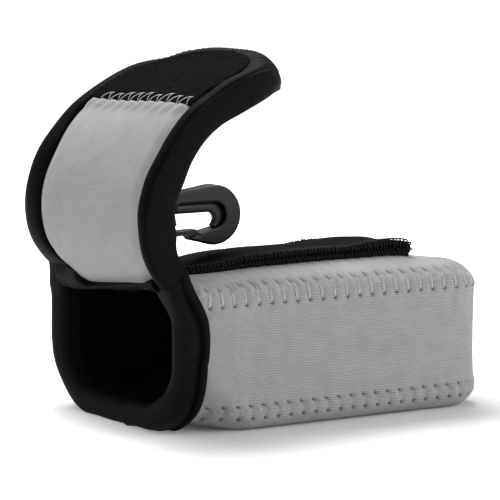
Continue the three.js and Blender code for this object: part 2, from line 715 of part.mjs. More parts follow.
// Stem, knuckle, arm, round end and nose. Heights are from the hook's axis
function snapHook() {
  const noseInnerX = gateTipX + GAP;
  const barbX = noseInnerX - GATE_BARB - GAP;
  const noseZ = gateBottom - HOOK_NOSE_RISE;
  const seatZ = -HOOK_SLOT_RADIUS + HOOK_GATE_SEAT;
  const fillet = HOOK_ARM_FILLET;
  const outline = [
    [knuckleStart, -HOOK_ARM_ROOT + HOOK_CORNER], [knuckleStart + HOOK_CORNER, -HOOK_ARM_ROOT],
    [knuckleEnd, -HOOK_ARM_ROOT], [knuckleEnd, seatZ], [knuckleEnd + HOOK_GATE_SEAT, seatZ + HOOK_GATE_SEAT],
    ...arc(knuckleEnd + fillet, HOOK_SLOT_RADIUS - fillet, fillet, fillet, 180, 90, 3),
    ...arc(HOOK_CENTRE_X, 0, HOOK_SLOT_RADIUS, HOOK_SLOT_RADIUS, 90, -70, 9),
    [noseInnerX, gateTop - GATE_THICKNESS / 2], [noseInnerX, gateBottom + HOOK_NOSE_RISE],
    [barbX, noseZ], [noseTipX, noseZ],
    [noseTipX + HOOK_NOSE_BEVEL_RUN, noseZ - HOOK_NOSE_BEVEL_DROP],
    ...arc(HOOK_CENTRE_X, 0, HOOK_RADIUS, HOOK_RADIUS, -112, 98, 18),
    [knuckleStart + HOOK_CORNER, HOOK_ARM_ROOT], [knuckleStart, HOOK_ARM_ROOT - HOOK_CORNER],
  ];
  const plate = bevelledPlate(outline, HOOK_THICKNESS, HOOK_BEVEL);
  const headEnd = yokeStart - GAP;
  const headStart = headEnd - STEM_HEAD;
  const stemEnd = knuckleStart + OVERRUN;
  const stem = turnedAlongX([
    [headStart, 0], [headStart, STEM_HEAD_RADIUS - STEM_HEAD_CHAMFER],
    [headStart + STEM_HEAD_CHAMFER, STEM_HEAD_RADIUS], [headEnd, STEM_HEAD_RADIUS],
    [headEnd, STEM_RADIUS], [stemEnd, STEM_RADIUS], [stemEnd, 0],
  ], 20);
  return geometryOf(plate.add(stem));
}

// Springy tongue that closes the hook, with a barb that sits behind the nose
function hookGate() {
  const rootX = knuckleEnd + GAP;
  const edge = GATE_BEVEL;
  const underBarb = gateBottom + GAP + edge / 2;
  const outline = [
    [rootX, gateBottom + edge], [rootX, gateTop - edge], [rootX + 2 * edge, gateTop],
    [gateTipX - 2 * edge, gateTop + edge], [gateTipX, gateTop - edge],
    [gateTipX - edge, underBarb], [gateTipX - GATE_BARB, underBarb],
    [gateTipX - GATE_BARB - 3 * edge, gateBottom + 2 * edge], [rootX + 3 * edge, gateBottom],
  ];
  return geometryOf(bevelledPlate(outline, GATE_WIDTH, edge));
}

// Assembly

const part = new THREE.Group();
part.position.x = -POUCH_LENGTH / 2;

const FINISHES = {
  neoprene: { color: GREY, roughness: 0.75, metalness: 0 },
  blackCloth: { color: BLACK, roughness: 0.85, metalness: 0 },
  hookTape: { color: BLACK, roughness: 1, metalness: 0 },
  acetal: { color: PLASTIC, roughness: 0.4, metalness: 0 },
};

function addPiece(name, geometry, finish) {
  const piece = new THREE.Mesh(geometry, new THREE.MeshStandardMaterial(FINISHES[finish]));
  piece.name = name;
  part.add(piece);
}

// The bent layers are cut across at each hinge line; the binding is also cut into near and far runs
function addFlap() {
  const patch = flapPatchLayer();
  const inner = flapInnerLayer().subtract(flapPatchRoom());
  const outer = flapOuterLayer();
  const binding = flapBindingLayer();
  const side = POUCH_WIDTH;
  FLAP_BEND_ANGLES.forEach((bend, i) => {
    const [from, to] = [i * FLAP_STRETCH, (i + 1) * FLAP_STRETCH];
    const last = i === FLAP_BEND_ANGLES.length - 1;
    const wedge = solid(prismXZ(flapWedge(from, last ? to + OVERRUN : to, NEOPRENE), -side, side));
    const number = i + 1;
    addPiece(`flap_outer_layer_${number}`, geometryOf(outer.intersect(wedge)), 'neoprene');
    addPiece(`flap_inner_layer_${number}`, geometryOf(inner.intersect(wedge)), 'neoprene');
    if (to > HOOK_PATCH_START) {
      addPiece(`flap_hook_patch_${number}`, geometryOf(patch.intersect(wedge)), 'hookTape');
    }
    const edge = binding.intersect(wedge);
    if (last) {
      addPiece('flap_binding_tip', geometryOf(edge), 'blackCloth');
      return;
    }
    const near = solid(block(-side, 2 * side, -side, 0, -side, 2 * side));
    addPiece(`flap_binding_near_${number}`, geometryOf(edge.intersect(near)), 'blackCloth');
    addPiece(`flap_binding_far_${number}`, geometryOf(edge.subtract(near)), 'blackCloth');
  });
}

addPiece('front_panel', frontPanel(), 'neoprene');
addPiece('side_gusset', sideGusset(), 'neoprene');
addPiece('back_panel', backPanel(), 'neoprene');
addPiece('pouch_lining', pouchLining(), 'blackCloth');
addPiece('mouth_binding', mouthBinding(), 'blackCloth');
addPiece('mouth_top_binding', mouthTopBinding(), 'blackCloth');
addPiece('loop_patch', loopPatch(), 'hookTape');
addFlap();
addPiece('belt_loop', beltLoop(), 'blackCloth');
addPiece('webbing_tab', webbingTab(), 'blackCloth');
addPiece('hook_eye', hookEye(), 'acetal');
addPiece('snap_hook', snapHook(), 'acetal');
addPiece('hook_gate', hookGate(), 'acetal');

export default part;
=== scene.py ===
"""Camera case in grey neoprene: pouch, curled flap, belt loop and snap hook, set on a pale floor.

This file makes the soft pieces that stand for the frame's solids, gives the plastic pieces their
finish, and sets the floor, the lamps and the camera. Sizes are those of the solids, except where
the comments below say that the sewn case departs from them.
Lengths in the code are millimetres with X running from the mouth plane to the closed end, as the
solids were drawn. placed() turns them into metres in the frame.
"""

import math

import bmesh
import bpy
import numpy as np
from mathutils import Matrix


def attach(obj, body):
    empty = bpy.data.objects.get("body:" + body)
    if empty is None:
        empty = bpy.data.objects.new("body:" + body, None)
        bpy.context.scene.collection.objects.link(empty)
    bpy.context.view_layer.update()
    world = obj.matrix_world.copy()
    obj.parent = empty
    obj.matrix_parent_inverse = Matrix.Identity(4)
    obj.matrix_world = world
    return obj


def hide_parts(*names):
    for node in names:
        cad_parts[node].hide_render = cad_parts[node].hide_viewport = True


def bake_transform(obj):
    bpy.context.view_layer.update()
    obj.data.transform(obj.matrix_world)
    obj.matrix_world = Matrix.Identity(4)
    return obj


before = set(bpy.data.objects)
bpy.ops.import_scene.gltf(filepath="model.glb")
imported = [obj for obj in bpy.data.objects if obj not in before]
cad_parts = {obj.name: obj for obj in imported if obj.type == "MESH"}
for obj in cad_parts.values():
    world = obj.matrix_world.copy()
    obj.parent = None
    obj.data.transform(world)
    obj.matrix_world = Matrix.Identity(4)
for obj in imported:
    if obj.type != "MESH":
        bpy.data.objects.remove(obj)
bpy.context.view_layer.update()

bl_info = {
    "name": "Camera case",
    "version": (1, 0, 0),
    "blender": (4, 5, 0),
    "location": "View3D > Sidebar > Camera case",
    "description": "Makes the soft pieces and finishes of a neoprene camera case",
    "category": "Object",
}

# Sizes shared with the solids. The loop patch is given by its start, end, half width and thickness,
# the eye's bar by its x and z, and the hook's slot by x, z and radius of its round end
GAP = 0.3
POUCH_LENGTH = 145
POUCH_WIDTH = 91
POUCH_HEIGHT = 60
POUCH_CROWN = 1
NEOPRENE = 5
PLAN_CORNER = 18
TOP_EDGE_SIDE = 20
TOP_EDGE_END = 16
TOP_EDGE_DROP = 12.5
BOTTOM_EDGE_SIDE = 9
BOTTOM_EDGE_END = 8
BOTTOM_EDGE_RISE = 7
BOTTOM_SEAM_Z = 7.5
MOUTH_WIDTH = 94.6
MOUTH_HEIGHT = 58.5
MOUTH_LIFT = 2
MOUTH_BOTTOM_CORNER = 26
MOUTH_TOP_CORNER = 7.5
MOUTH_EDGE = 4.5
FLARE_START = 12
FLARE_END = 36
BACK_RISE_END = 66
MOUTH_SCOOP = 2.4
MOUTH_LEAN_START = 42
MOUTH_BINDING_OUTER = 13.5
LEAF = 1.7
HINGE_X = -2.0
HINGE_Z = 57.0
FLAP_START_ANGLE = 136
FLAP_STRETCH = 22
FLAP_BEND_ANGLES = (41, 33, 20, 15, 12.5, 5.5)
FLAP_LENGTH = 132
FLAP_HALF_WIDTH = 48.8
FLAP_TIP_CORNER = 40
FLAP_THICKNESS = 10.5
FLAP_BINDING_INNER = 8.5
HOOK_PATCH_START = 75
LOOP_PATCH = (30, 72, 35, 1.3)
BELT_START = 17
BELT_END = 116
BELT_HALF_WIDTH = 29
TAB_X = 12.4
TAB_HALF_WIDTH = 9.5
EYE_BAR = (9.6, 77.0)
EYE_BAR_RADIUS = 1.7
HOOK_SLOT = (44.2, 77.0, 4.9)

# Seams: height of the upper one, which stands higher than the solids' join, how far the threads of
# either reach up and down from its line, and how far from the mouth they start; and the heights
# down to which and up to which the rows of the panels lie at fixed heights
TOP_STITCH_Z = 51.8
TOP_STITCH_HALF = 3.7
LOW_STITCH_HALF = 2.6
SEAM_START = 9
LOW_ROWS_Z = 2.6
HIGH_ROWS_Z = 56.2

# Thickness of the tab's webbing, and the web in the hook's slot: its x at the start and half its
# thickness
WEBBING = 1.1
HOOK_WEB_START = 27.5
HOOK_WEB_HALF = 1.5

# The flap's round tip: where it starts, its short straight middle, how far its end is drawn in, the
# angles in radians where its binding is cut, where the hook patch ends under the binding, and how
# much further its round end is tucked in
TIP_START = FLAP_LENGTH - FLAP_TIP_CORNER
TIP_FLAT = FLAP_HALF_WIDTH - FLAP_TIP_CORNER
TIP_DRAWN_IN = 6.0
TIP_CUTS = (0.2, 1.05)
PATCH_END = FLAP_LENGTH - FLAP_BINDING_INNER - 2.6
PATCH_TUCK = 3.4

# How far the soft cloth departs from the solids: the pouch's top sinks, the flap's near edge stands
# back, its far corner is lifted, its foot is pulled forwards, its face is puffed, and the mouth's
# far side bulges
SINK_UNDER_LOOP = 2.5
SINK_SEWN_END = 1.5
SINK_FAR_SIDE = 3.4
SINK_END_CORNER = 2.6
EDGE_BACK = 2.4
CORNER_LIFT = 3.4
FOOT_PULL = 1.9
PILLOW = 1.7
MOUTH_BULGE = 1.5

# Points closer than this, in metres, are merged; and a direction that no thread runs along
SAME_PLACE = 2e-6
NO_PATH = (0.31, 0.2, 0.93)

# Depths of the pits and troughs that the seams' threads pull, and heights of the wrinkles there
PIT_DEPTH = 1.5
TROUGH_DEPTH = 0.3
CRINKLE = 0.2
FAN = 0.12

# Where the middle line of the pouch's top and bottom ends: the columns of the closed end meet there
SPINE_END = 99.5

# Belt loop: thickness of its strip, its height above the back panel, the radius of its fold and how
# far that reaches past the solid's; where it is sewn down, how far it sinks and to what share of its
# thickness it is pressed
STRIP = 1.9
LOWER_LIFT = 0.25
STRIP_FOLD = STRIP / 2 + 0.95
STRIP_PAST_END = 1.8
STRIP_SUNK = 0.7
STRIP_PRESSED = 0.35

# How much lower the overlock hangs on the strip's far edge
OVERLOCK_DROP = 0.35


# Settings

class CaseSizes(bpy.types.PropertyGroup):
    """Sizes of the sewn details"""

    stitch_pitch: bpy.props.FloatProperty(
        name="Stitch pitch", description="Distance between the seam's threads",
        default=0.0056, min=0.003, max=0.01, unit="LENGTH")
    thread_radius: bpy.props.FloatProperty(
        name="Thread radius", description="Radius of one strand of the seam's thread",
        default=0.00017, min=0.0001, max=0.001, unit="LENGTH")
    pucker: bpy.props.FloatProperty(
        name="Pucker", description="How far the cloth puffs up between two threads",
        default=0.0006, min=0.0, max=0.002, unit="LENGTH")
    overlock_pitch: bpy.props.FloatProperty(
        name="Overlock pitch", description="Distance between stitches on the strap's edges",
        default=0.0015, min=0.0008, max=0.003, unit="LENGTH")
    zigzag_pitch: bpy.props.FloatProperty(
        name="Zigzag pitch", description="Width of one zigzag along the hook patch's seam",
        default=0.0078, min=0.004, max=0.012, unit="LENGTH")


class CaseFinishes(bpy.types.PropertyGroup):
    """Colours of the cloths, threads and plastic"""

    knit: bpy.props.StringProperty(
        name="Knit", description="sRGB colour of the grey knit face", default="A9A9AA")
    thread: bpy.props.StringProperty(
        name="Thread", description="sRGB colour of the grey sewing thread", default="DEDEE0")
    binding: bpy.props.StringProperty(
        name="Binding", description="sRGB colour of the black stretch binding", default="151516")
    strap: bpy.props.StringProperty(
        name="Strap", description="sRGB colour of the black strap cloth", default="0F0F10")
    pile: bpy.props.StringProperty(
        name="Pile", description="sRGB colour of the hook and loop tapes", default="0E0E0F")
    plastic: bpy.props.StringProperty(
        name="Plastic", description="sRGB colour of the moulded plastic", default="161617")


class CaseStage(bpy.types.PropertyGroup):
    """Lamps and camera"""

    key_power: bpy.props.FloatProperty(
        name="Key lamp", description="Power of the large lamp above and behind the case", default=7.6,
        unit="POWER")
    fill_power: bpy.props.FloatProperty(
        name="Fill lamp", description="Power of the lamp in front on the right", default=3.9,
        unit="POWER")
    sky: bpy.props.FloatProperty(
        name="Sky", description="Strength of the even light all round", default=0.28, min=0.0, max=1.0)
    side_power: bpy.props.FloatProperty(
        name="Side lamp", description="Power of the lamp that faces the open flap", default=1.9,
        unit="POWER")
    lens: bpy.props.FloatProperty(
        name="Lens", description="Focal length for a 36 mm wide picture", default=194.4, unit="CAMERA")


# Plain helpers

def ease(low, high, value):
    """Smooth step: 0 below low, 1 above high, with level ends."""
    t = np.clip((np.asarray(value, float) - low) / (high - low), 0, 1)
    return t * t * (3 - 2 * t)


def hump(up, up_end, down, down_end, value):
    """Rises from 0 to 1 between the first two places and falls back between the last two."""
    return ease(up, up_end, value) * (1 - ease(down, down_end, value))


def bump(value, width):
    """Bell curve of the given width round 0."""
    return np.exp(-((value / width) ** 2))


def placed(points):
    """Millimetres as drawn to metres in the frame: X is counted from the pouch's middle."""
    return (np.asarray(points, float) - np.array([POUCH_LENGTH / 2, 0, 0])) * 0.001


def mm(length):
    """A setting in metres as millimetres."""
    return length * 1000


def unit(vectors):
    """Each vector divided by its own length."""
    return vectors / np.maximum(np.linalg.norm(vectors, axis=-1, keepdims=True), 1e-12)


def slow_noise(u, v, scale, seed):
    """Sum of five plane waves with seeded directions: a smooth, uneven field from about -1 to 1."""
    chance = np.random.default_rng(seed)
    total = 0
    for _ in range(5):
        turn, phase = chance.uniform(0, 2 * math.pi, 2)
        size = scale * chance.uniform(0.7, 1.5)
        total = total + np.sin(2 * math.pi * (u * math.cos(turn) + v * math.sin(turn)) / size + phase)
    return total / 2.5


def joined(*parts):
    """The parts side by side on a new last axis, each spread over their common shape."""
    return np.stack(np.broadcast_arrays(*parts), -1)


def run_along(points):
    """Distance of each point from the first one, along the path through them."""
    steps = np.linalg.norm(np.diff(points, axis=-2), axis=-1)
    return np.concatenate([0 * steps[..., :1], np.cumsum(steps, -1)], -1)


def between(start, end, share):
    """The value that lies a share of the way from start to end."""
    return start + (end - start) * share


def grid_quads(rows, columns, wrap_columns=False, first=0):
    """Four-cornered faces between neighbours on a grid of rows by columns."""
    i = np.arange(rows - 1)
    j = np.arange(columns if wrap_columns else columns - 1)
    i, j = np.meshgrid(i, j, indexing="ij")
    i2, j2 = i + 1, (j + 1) % columns
    corners = [i * columns + j, i * columns + j2, i2 * columns + j2, i2 * columns + j]
    return np.stack(corners, -1).reshape(-1, 4) + first


def new_piece(name, points, faces, uv, flat_faces=(), painted_shade=None):
    """An object from points in millimetres, faces and one UV pair in millimetres for each point.
    Faces in flat_faces are shaded flat, the rest smooth. The last argument, from 0 to 1 for each
    point, is painted shade: it tells the material how far to darken the colour where shade falls.
    Doubled points are merged and all faces turned outwards."""
    mesh = bpy.data.meshes.new(name)
    flat_faces = [list(map(int, f)) for f in flat_faces]
    faces = [list(map(int, f)) for f in faces]
    mesh.from_pydata(placed(points).tolist(), [], faces + flat_faces)
    layer = mesh.uv_layers.new(name="UVMap")
    loops = np.zeros(len(mesh.loops), np.int32)
    mesh.loops.foreach_get("vertex_index", loops)
    layer.data.foreach_set("uv", np.asarray(uv, float)[loops].astype(np.float32).ravel())
    # Painted shade: this attribute darkens the colour where shade falls
    if painted_shade is not None:
        depth = mesh.attributes.new("painted_shade", "FLOAT", "POINT")
        depth.data.foreach_set("value", np.asarray(painted_shade, np.float32).ravel())
    smooth = np.ones(len(mesh.polygons), bool)
    smooth[len(faces):] = False
    mesh.polygons.foreach_set("use_smooth", smooth)
    work = bmesh.new()
    work.from_mesh(mesh)
    bmesh.ops.remove_doubles(work, verts=work.verts, dist=SAME_PLACE)
    bmesh.ops.recalc_face_normals(work, faces=work.faces)
    work.to_mesh(mesh)
    work.free()
    piece = bpy.data.objects.new(name, mesh)
    bpy.context.scene.collection.objects.link(piece)
    return piece


def finish_piece(piece, key, rides=None):
    """Gives a piece its material slot, its finish and the body it moves with."""
    piece.data.materials.clear()
    piece.data.materials.append(finish(key))
    if rides:
        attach(piece, rides)
    return piece


def walled(name, outer, inner, uv, closed, painted_shade=None):
    """A wall between two grids of equal size. Its first and last rows are closed, and its first
    and last columns where closed says so."""
    rows, columns = outer.shape[:2]
    count = rows * columns
    points = np.concatenate([outer.reshape(-1, 3), inner.reshape(-1, 3)])
    quads = np.concatenate([
        grid_quads(rows, columns), grid_quads(rows, columns, first=count)[:, ::-1]])
    along = np.arange(rows - 1) * columns
    across = np.arange(columns - 1)
    edges = [(along + j, along + columns + j) for close, j in zip(closed, (0, columns - 1)) if close]
    edges += [(i * columns + across, i * columns + across + 1) for i in (0, rows - 1)]
    rims = np.concatenate([np.stack([a, b, b + count, a + count], -1) for a, b in edges])
    uv = uv.reshape(-1, 2)
    if painted_shade is not None:
        painted_shade = np.concatenate([painted_shade, 0 * painted_shade])
    return new_piece(name, points, quads, np.concatenate([uv, uv]), rims, painted_shade)


def with_close_ends(rows):
    """The rows with one more just inside each end, so that the shading at an end follows the
    surface right there and two pieces that meet look like one."""
    rows = np.asarray(rows, float)
    near_end = 0.05
    first = between(rows[:1], rows[1:2], near_end)
    last = between(rows[-1:], rows[-2:-1], near_end)
    return np.concatenate([rows[:1], first, rows[1:-1], last, rows[-1:]])


def ring_loft(name, rings, uv, painted_shade=0.0):
    """A body through closed rings of equal count, its ends closed by flat faces."""
    count, sides = rings.shape[:2]
    quads = grid_quads(count, sides, wrap_columns=True)
    ends = [list(range(sides)), [(count - 1) * sides + i for i in range(sides)]]
    painted_shade = np.broadcast_to(painted_shade, (count, sides))
    return new_piece(name, rings.reshape(-1, 3), quads, uv.reshape(-1, 2), ends, painted_shade)


def tubes(name, paths, radius, sides=6):
    """Round tubes along many paths at once: each point carries a circle square to its path, drawn
    in to a point at both ends. Paths are a grid of strands by points."""
    strands, count = paths.shape[:2]
    along = unit(np.gradient(paths, axis=1))
    aside = unit(np.cross(along, NO_PATH))
    up = np.cross(aside, along)
    turn = np.arange(sides) * 2 * math.pi / sides
    taper = np.sqrt(np.clip(1 - np.linspace(-1, 1, count) ** 8, 0.02, 1))
    radii = np.broadcast_to(radius, (strands,))[:, None] * taper
    circle = np.cos(turn)[:, None] * aside[:, :, None] + np.sin(turn)[:, None] * up[:, :, None]
    points = paths[:, :, None] + radii[:, :, None, None] * circle
    one = grid_quads(count, sides, wrap_columns=True)
    quads = (one[None] + (np.arange(strands) * count * sides)[:, None, None]).reshape(-1, 4)
    starts = np.arange(strands)[:, None] * count * sides
    ends = np.concatenate([starts + np.arange(sides), starts + (count - 1) * sides + np.arange(sides)])
    uv = np.zeros((points.size // 3, 2))
    uv[:, 0] = np.tile(np.repeat(np.linspace(0, 4, count), sides), strands)
    return new_piece(name, points.reshape(-1, 3), quads, uv, ends)


# Materials

def linear(code):
    """sRGB hex code to linear colour with alpha."""
    values = [int(code[i:i + 2], 16) / 255 for i in (0, 2, 4)]
    return [v / 12.92 if v <= 0.04045 else ((v + 0.055) / 1.055) ** 2.4 for v in values] + [1.0]


def node(tree, kind, inputs=None, **settings):
    """Adds a shader node with its settings. inputs gives a socket its value or the output that it
    is linked to."""
    made = tree.nodes.new("ShaderNode" + kind)
    for key, value in settings.items():
        setattr(made, key, value)
    for socket, value in (inputs or {}).items():
        if isinstance(value, bpy.types.NodeSocket):
            tree.links.new(made.inputs[socket], value)
        else:
            made.inputs[socket].default_value = value
    return made


def empty_tree(owner):
    """The node tree of a material or a world, with nothing in it."""
    owner.use_nodes = True
    owner.node_tree.nodes.clear()
    return owner.node_tree


def new_material(name):
    """A material, its empty node tree, and the piece's own UV map in millimetres."""
    material = bpy.data.materials.new(name)
    tree = empty_tree(material)
    return material, tree, node(tree, "UVMap", uv_map="UVMap").outputs["UV"]


def shaded(material, inputs):
    """The material with a principled shader of these inputs."""
    tree = material.node_tree
    shader = node(tree, "BsdfPrincipled", inputs)
    node(tree, "OutputMaterial", {"Surface": shader.outputs["BSDF"]})
    return material


def mottled(tree, uv, code, low, high, scale, detail=3.0):
    """The colour between low and high times its level, by a noise whose grain is 1/scale mm."""
    noise = node(tree, "TexNoise", {"Vector": uv, "Scale": scale, "Detail": detail})
    ramp = node(tree, "ValToRGB", {"Fac": noise.outputs["Fac"]})
    base = linear(code)[:3]
    for element, place, level in zip(ramp.color_ramp.elements, (0.32, 0.68), (low, high)):
        element.position = place
        element.color = [min(1, c * level) for c in base] + [1]
    return ramp.outputs["Color"]


def darken_by_painted_shade(tree, colour, deepest):
    """Painted shade: the colour darkened by the piece's painted shade, down to deepest times its level.
    """
    painted_shade = node(tree, "Attribute", attribute_name="painted_shade").outputs["Fac"]
    dark = node(tree, "MapRange", {"Value": painted_shade, "To Min": 1.0, "To Max": deepest})
    return node(tree, "VectorMath", {0: colour, 1: dark.outputs["Result"]},
                operation="MULTIPLY").outputs["Vector"]


def bumped(tree, heights):
    """One bump over another: heights is a list of (height socket, strength, depth in mm)."""
    below = {}
    for height, strength, depth in heights:
        values = {"Height": height, "Strength": strength, "Distance": depth * 0.001}
        below = {"Normal": node(tree, "Bump", {**values, **below}).outputs["Normal"]}
    return below["Normal"]


def wave_scale(spacing):
    """The wave texture's scale for lines that are spacing mm apart."""
    return math.pi / (10 * spacing)


def knit_face(name, code, rib, rib_tone, rib_depth):
    """Nylon jersey laminated on neoprene: fine ribs of the knit, rib mm apart and rib_tone darker
    in between, uneven along their length, under a soft mottle. It looks satin and a little dusty."""
    material, tree, uv = new_material(name)
    warp = node(tree, "TexNoise", {"Vector": uv, "Scale": 0.35, "Detail": 2})
    bent = node(tree, "VectorMath", {0: warp.outputs["Color"], 1: (0.0, 0.5, 0.0), 2: uv},
                operation="MULTIPLY_ADD")
    wave = {"Vector": bent.outputs["Vector"], "Scale": wave_scale(rib), "Distortion": 0.6,
            "Detail": 2, "Detail Scale": 1.5}
    ribs = node(tree, "TexWave", wave, wave_type="BANDS", bands_direction="Y", wave_profile="SIN")
    ribs = ribs.outputs["Fac"]
    drawn = node(tree, "Mapping", {"Vector": uv, "Scale": (0.6, 1.4, 1)}).outputs["Vector"]
    grain = node(tree, "TexNoise", {"Vector": drawn, "Scale": 1.6, "Detail": 4}).outputs["Fac"]
    tone = mottled(tree, uv, code, 0.93, 1.05, 0.12)
    shade = node(tree, "MapRange", {
        "Value": ribs, "To Min": 1 - 0.7 * rib_tone, "To Max": 1 + 0.3 * rib_tone})
    colour = node(tree, "VectorMath", {0: tone, 1: shade.outputs["Result"]}, operation="MULTIPLY")
    # Painted shade: the colour is darkened where the piece's attribute says shade falls
    colour = darken_by_painted_shade(tree, colour.outputs["Vector"], 0.14)
    normal = bumped(tree, [(grain, 0.5, 0.18), (ribs, 0.6, rib_depth)])
    return shaded(material, {
        "Base Color": colour, "Normal": normal, "Roughness": 0.72, "Sheen Weight": 0.25,
        "Sheen Roughness": 0.5, "Specular IOR Level": 0.35})


def jersey(name, code, roughness=0.62):
    """Black stretch nylon with a tight knit: very fine cross ribs and slight creases, with no
    gloss, so that only its folds show."""
    material, tree, uv = new_material(name)
    drawn = node(tree, "Mapping", {"Vector": uv, "Scale": (2.2, 0.8, 1)}).outputs["Vector"]
    weave = node(tree, "TexNoise", {"Vector": drawn, "Scale": 1.5, "Detail": 4}).outputs["Fac"]
    drawn = node(tree, "Mapping", {"Vector": uv, "Scale": (0.35, 0.05, 1)}).outputs["Vector"]
    folds = node(tree, "TexNoise", {"Vector": drawn, "Scale": 1.0, "Detail": 2}).outputs["Fac"]
    # Painted shade: the colour is darkened where the piece's attribute says shade falls
    colour = darken_by_painted_shade(tree, mottled(tree, uv, code, 0.85, 1.2, 0.4), 0.05)
    normal = bumped(tree, [(folds, 0.22, 0.8), (weave, 0.35, 0.12)])
    return shaded(material, {
        "Base Color": colour, "Normal": normal, "Roughness": roughness, "Specular IOR Level": 0.03})


def strap_cloth(name, code):
    """Plain woven nylon strap cloth: a small even weave, 0.8 mm a thread, drawn coarser than the
    real one so that it shows, with a satin face."""
    material, tree, uv = new_material(name)
    wave = {"Vector": uv, "Scale": wave_scale(0.8), "Distortion": 0.5}
    waves = [node(tree, "TexWave", wave, wave_type="BANDS", bands_direction=direction)
             for direction in ("X", "Y")]
    weave = node(tree, "Math", {0: waves[0].outputs["Fac"], 1: waves[1].outputs["Fac"]},
                 operation="MULTIPLY")
    colour = mottled(tree, uv, code, 0.85, 1.2, 0.3)
    normal = bumped(tree, [(weave.outputs["Value"], 0.45, 0.15)])
    return shaded(material, {
        "Base Color": colour, "Normal": normal, "Roughness": 0.7, "Specular IOR Level": 0.02})


def pile_tape(name, code, grain):
    """Hook and loop tape: stiff nylon pile on a woven ground, which breaks the light into specks
    about grain mm across and has no gloss."""
    material, tree, uv = new_material(name)
    cells = node(tree, "TexVoronoi", {"Vector": uv, "Scale": 1 / grain})
    fluff = node(tree, "TexNoise", {"Vector": uv, "Scale": 1.4, "Detail": 5})
    colour = mottled(tree, uv, code, 0.45, 2.0, 0.5, 5.0)
    normal = bumped(tree, [(cells.outputs["Distance"], 0.8, 0.5), (fluff.outputs["Fac"], 0.7, 0.5)])
    return shaded(material, {
        "Base Color": colour, "Normal": normal, "Roughness": 0.95, "Specular IOR Level": 0.03})


def sewing_thread(name, code, gloss):
    """Twisted polyester thread, with a twist too fine to show: the grey one has a slight gloss, the
    black one hardly any."""
    material, tree, uv = new_material(name)
    return shaded(material, {
        "Base Color": mottled(tree, uv, code, 0.9, 1.06, 1.5), "Roughness": 0.5,
        "Sheen Weight": 0.2 * gloss / 0.5, "Specular IOR Level": gloss})


def moulded_acetal(name, code):
    """Injection-moulded acetal: dark grey, satin, with the faint grain of a spark-eroded mould."""
    material = bpy.data.materials.new(name)
    tree = empty_tree(material)
    place = node(tree, "TexCoord").outputs["Object"]
    grain = node(tree, "TexNoise", {"Vector": place, "Scale": 3500, "Detail": 3}).outputs["Fac"]
    patch = node(tree, "TexNoise", {"Vector": place, "Scale": 160}).outputs["Fac"]
    rough = node(tree, "MapRange", {"Value": patch, "To Min": 0.34, "To Max": 0.5})
    return shaded(material, {
        "Base Color": linear(code), "Normal": bumped(tree, [(grain, 0.3, 0.03)]),
        "Roughness": rough.outputs["Result"], "Specular IOR Level": 0.32})


def finish(key):
    """The material for a finish, made once from the scene's colours."""
    known = bpy.data.materials.get(key)
    if known:
        return known
    colours = bpy.context.scene.case_finishes
    maker, *values = {
        "grey_knit_neoprene": (knit_face, colours.knit, 0.95, 0.26, 0.16),
        "grey_knit_flap": (knit_face, colours.knit, 0.8, 0.05, 0.05),
        "grey_sewing_thread": (sewing_thread, colours.thread, 0.5),
        "black_sewing_thread": (sewing_thread, colours.plastic, 0.16),
        "black_stretch_binding": (jersey, colours.binding),
        "black_brushed_lining": (jersey, colours.pile, 0.9),
        "black_strap_cloth": (strap_cloth, colours.strap),
        "black_woven_webbing": (strap_cloth, colours.binding),
        "black_hook_tape": (pile_tape, colours.pile, 0.9),
        "black_loop_tape": (pile_tape, colours.pile, 1.3),
        "moulded_acetal": (moulded_acetal, colours.plastic),
    }[key]
    return maker(key, *values)


# Pouch surface: s runs round the plan from the near mouth edge to the far one, t up the profile

SIDE_RUN = POUCH_LENGTH - PLAN_CORNER - MOUTH_EDGE
CORNER_RUN = PLAN_CORNER * math.pi / 2
END_RUN = POUCH_WIDTH - 2 * PLAN_CORNER
PERIMETER = 2 * SIDE_RUN + 2 * CORNER_RUN + END_RUN


def plan(s):
    """Plan of the pouch at s: x and y of the outline and the outward direction. The near side,
    a quarter circle, the closed end, and the same back along the far side."""
    far = s > PERIMETER / 2
    near_s = np.where(far, PERIMETER - s, s)
    turn = np.clip((near_s - SIDE_RUN) / PLAN_CORNER, 0, math.pi / 2)
    x = MOUTH_EDGE + np.minimum(near_s, SIDE_RUN) + PLAN_CORNER * np.sin(turn)
    flare = ease(FLARE_START, FLARE_END, x)
    half = between(MOUTH_WIDTH, POUCH_WIDTH, flare) / 2
    past_corner = np.clip(near_s - SIDE_RUN - CORNER_RUN, 0, END_RUN / 2)
    y = -(half - PLAN_CORNER + PLAN_CORNER * np.cos(turn)) + past_corner
    side = np.where(far, -1.0, 1.0)
    return x, y * side, np.sin(turn), -np.cos(turn) * side


def pouch_levels(x):
    """The pouch at x: how far it has flared, and the heights of its floor, of its wall's lower and
    upper ends, and of its top."""
    flare = ease(FLARE_START, FLARE_END, x)
    floor = MOUTH_LIFT * (1 - flare)
    low = floor + between(MOUTH_BOTTOM_CORNER, BOTTOM_EDGE_RISE, flare)
    height = between(MOUTH_HEIGHT, POUCH_HEIGHT, ease(FLARE_START, BACK_RISE_END, x))
    high = height - between(MOUTH_TOP_CORNER, TOP_EDGE_DROP, flare)
    return flare, floor, low, high, height


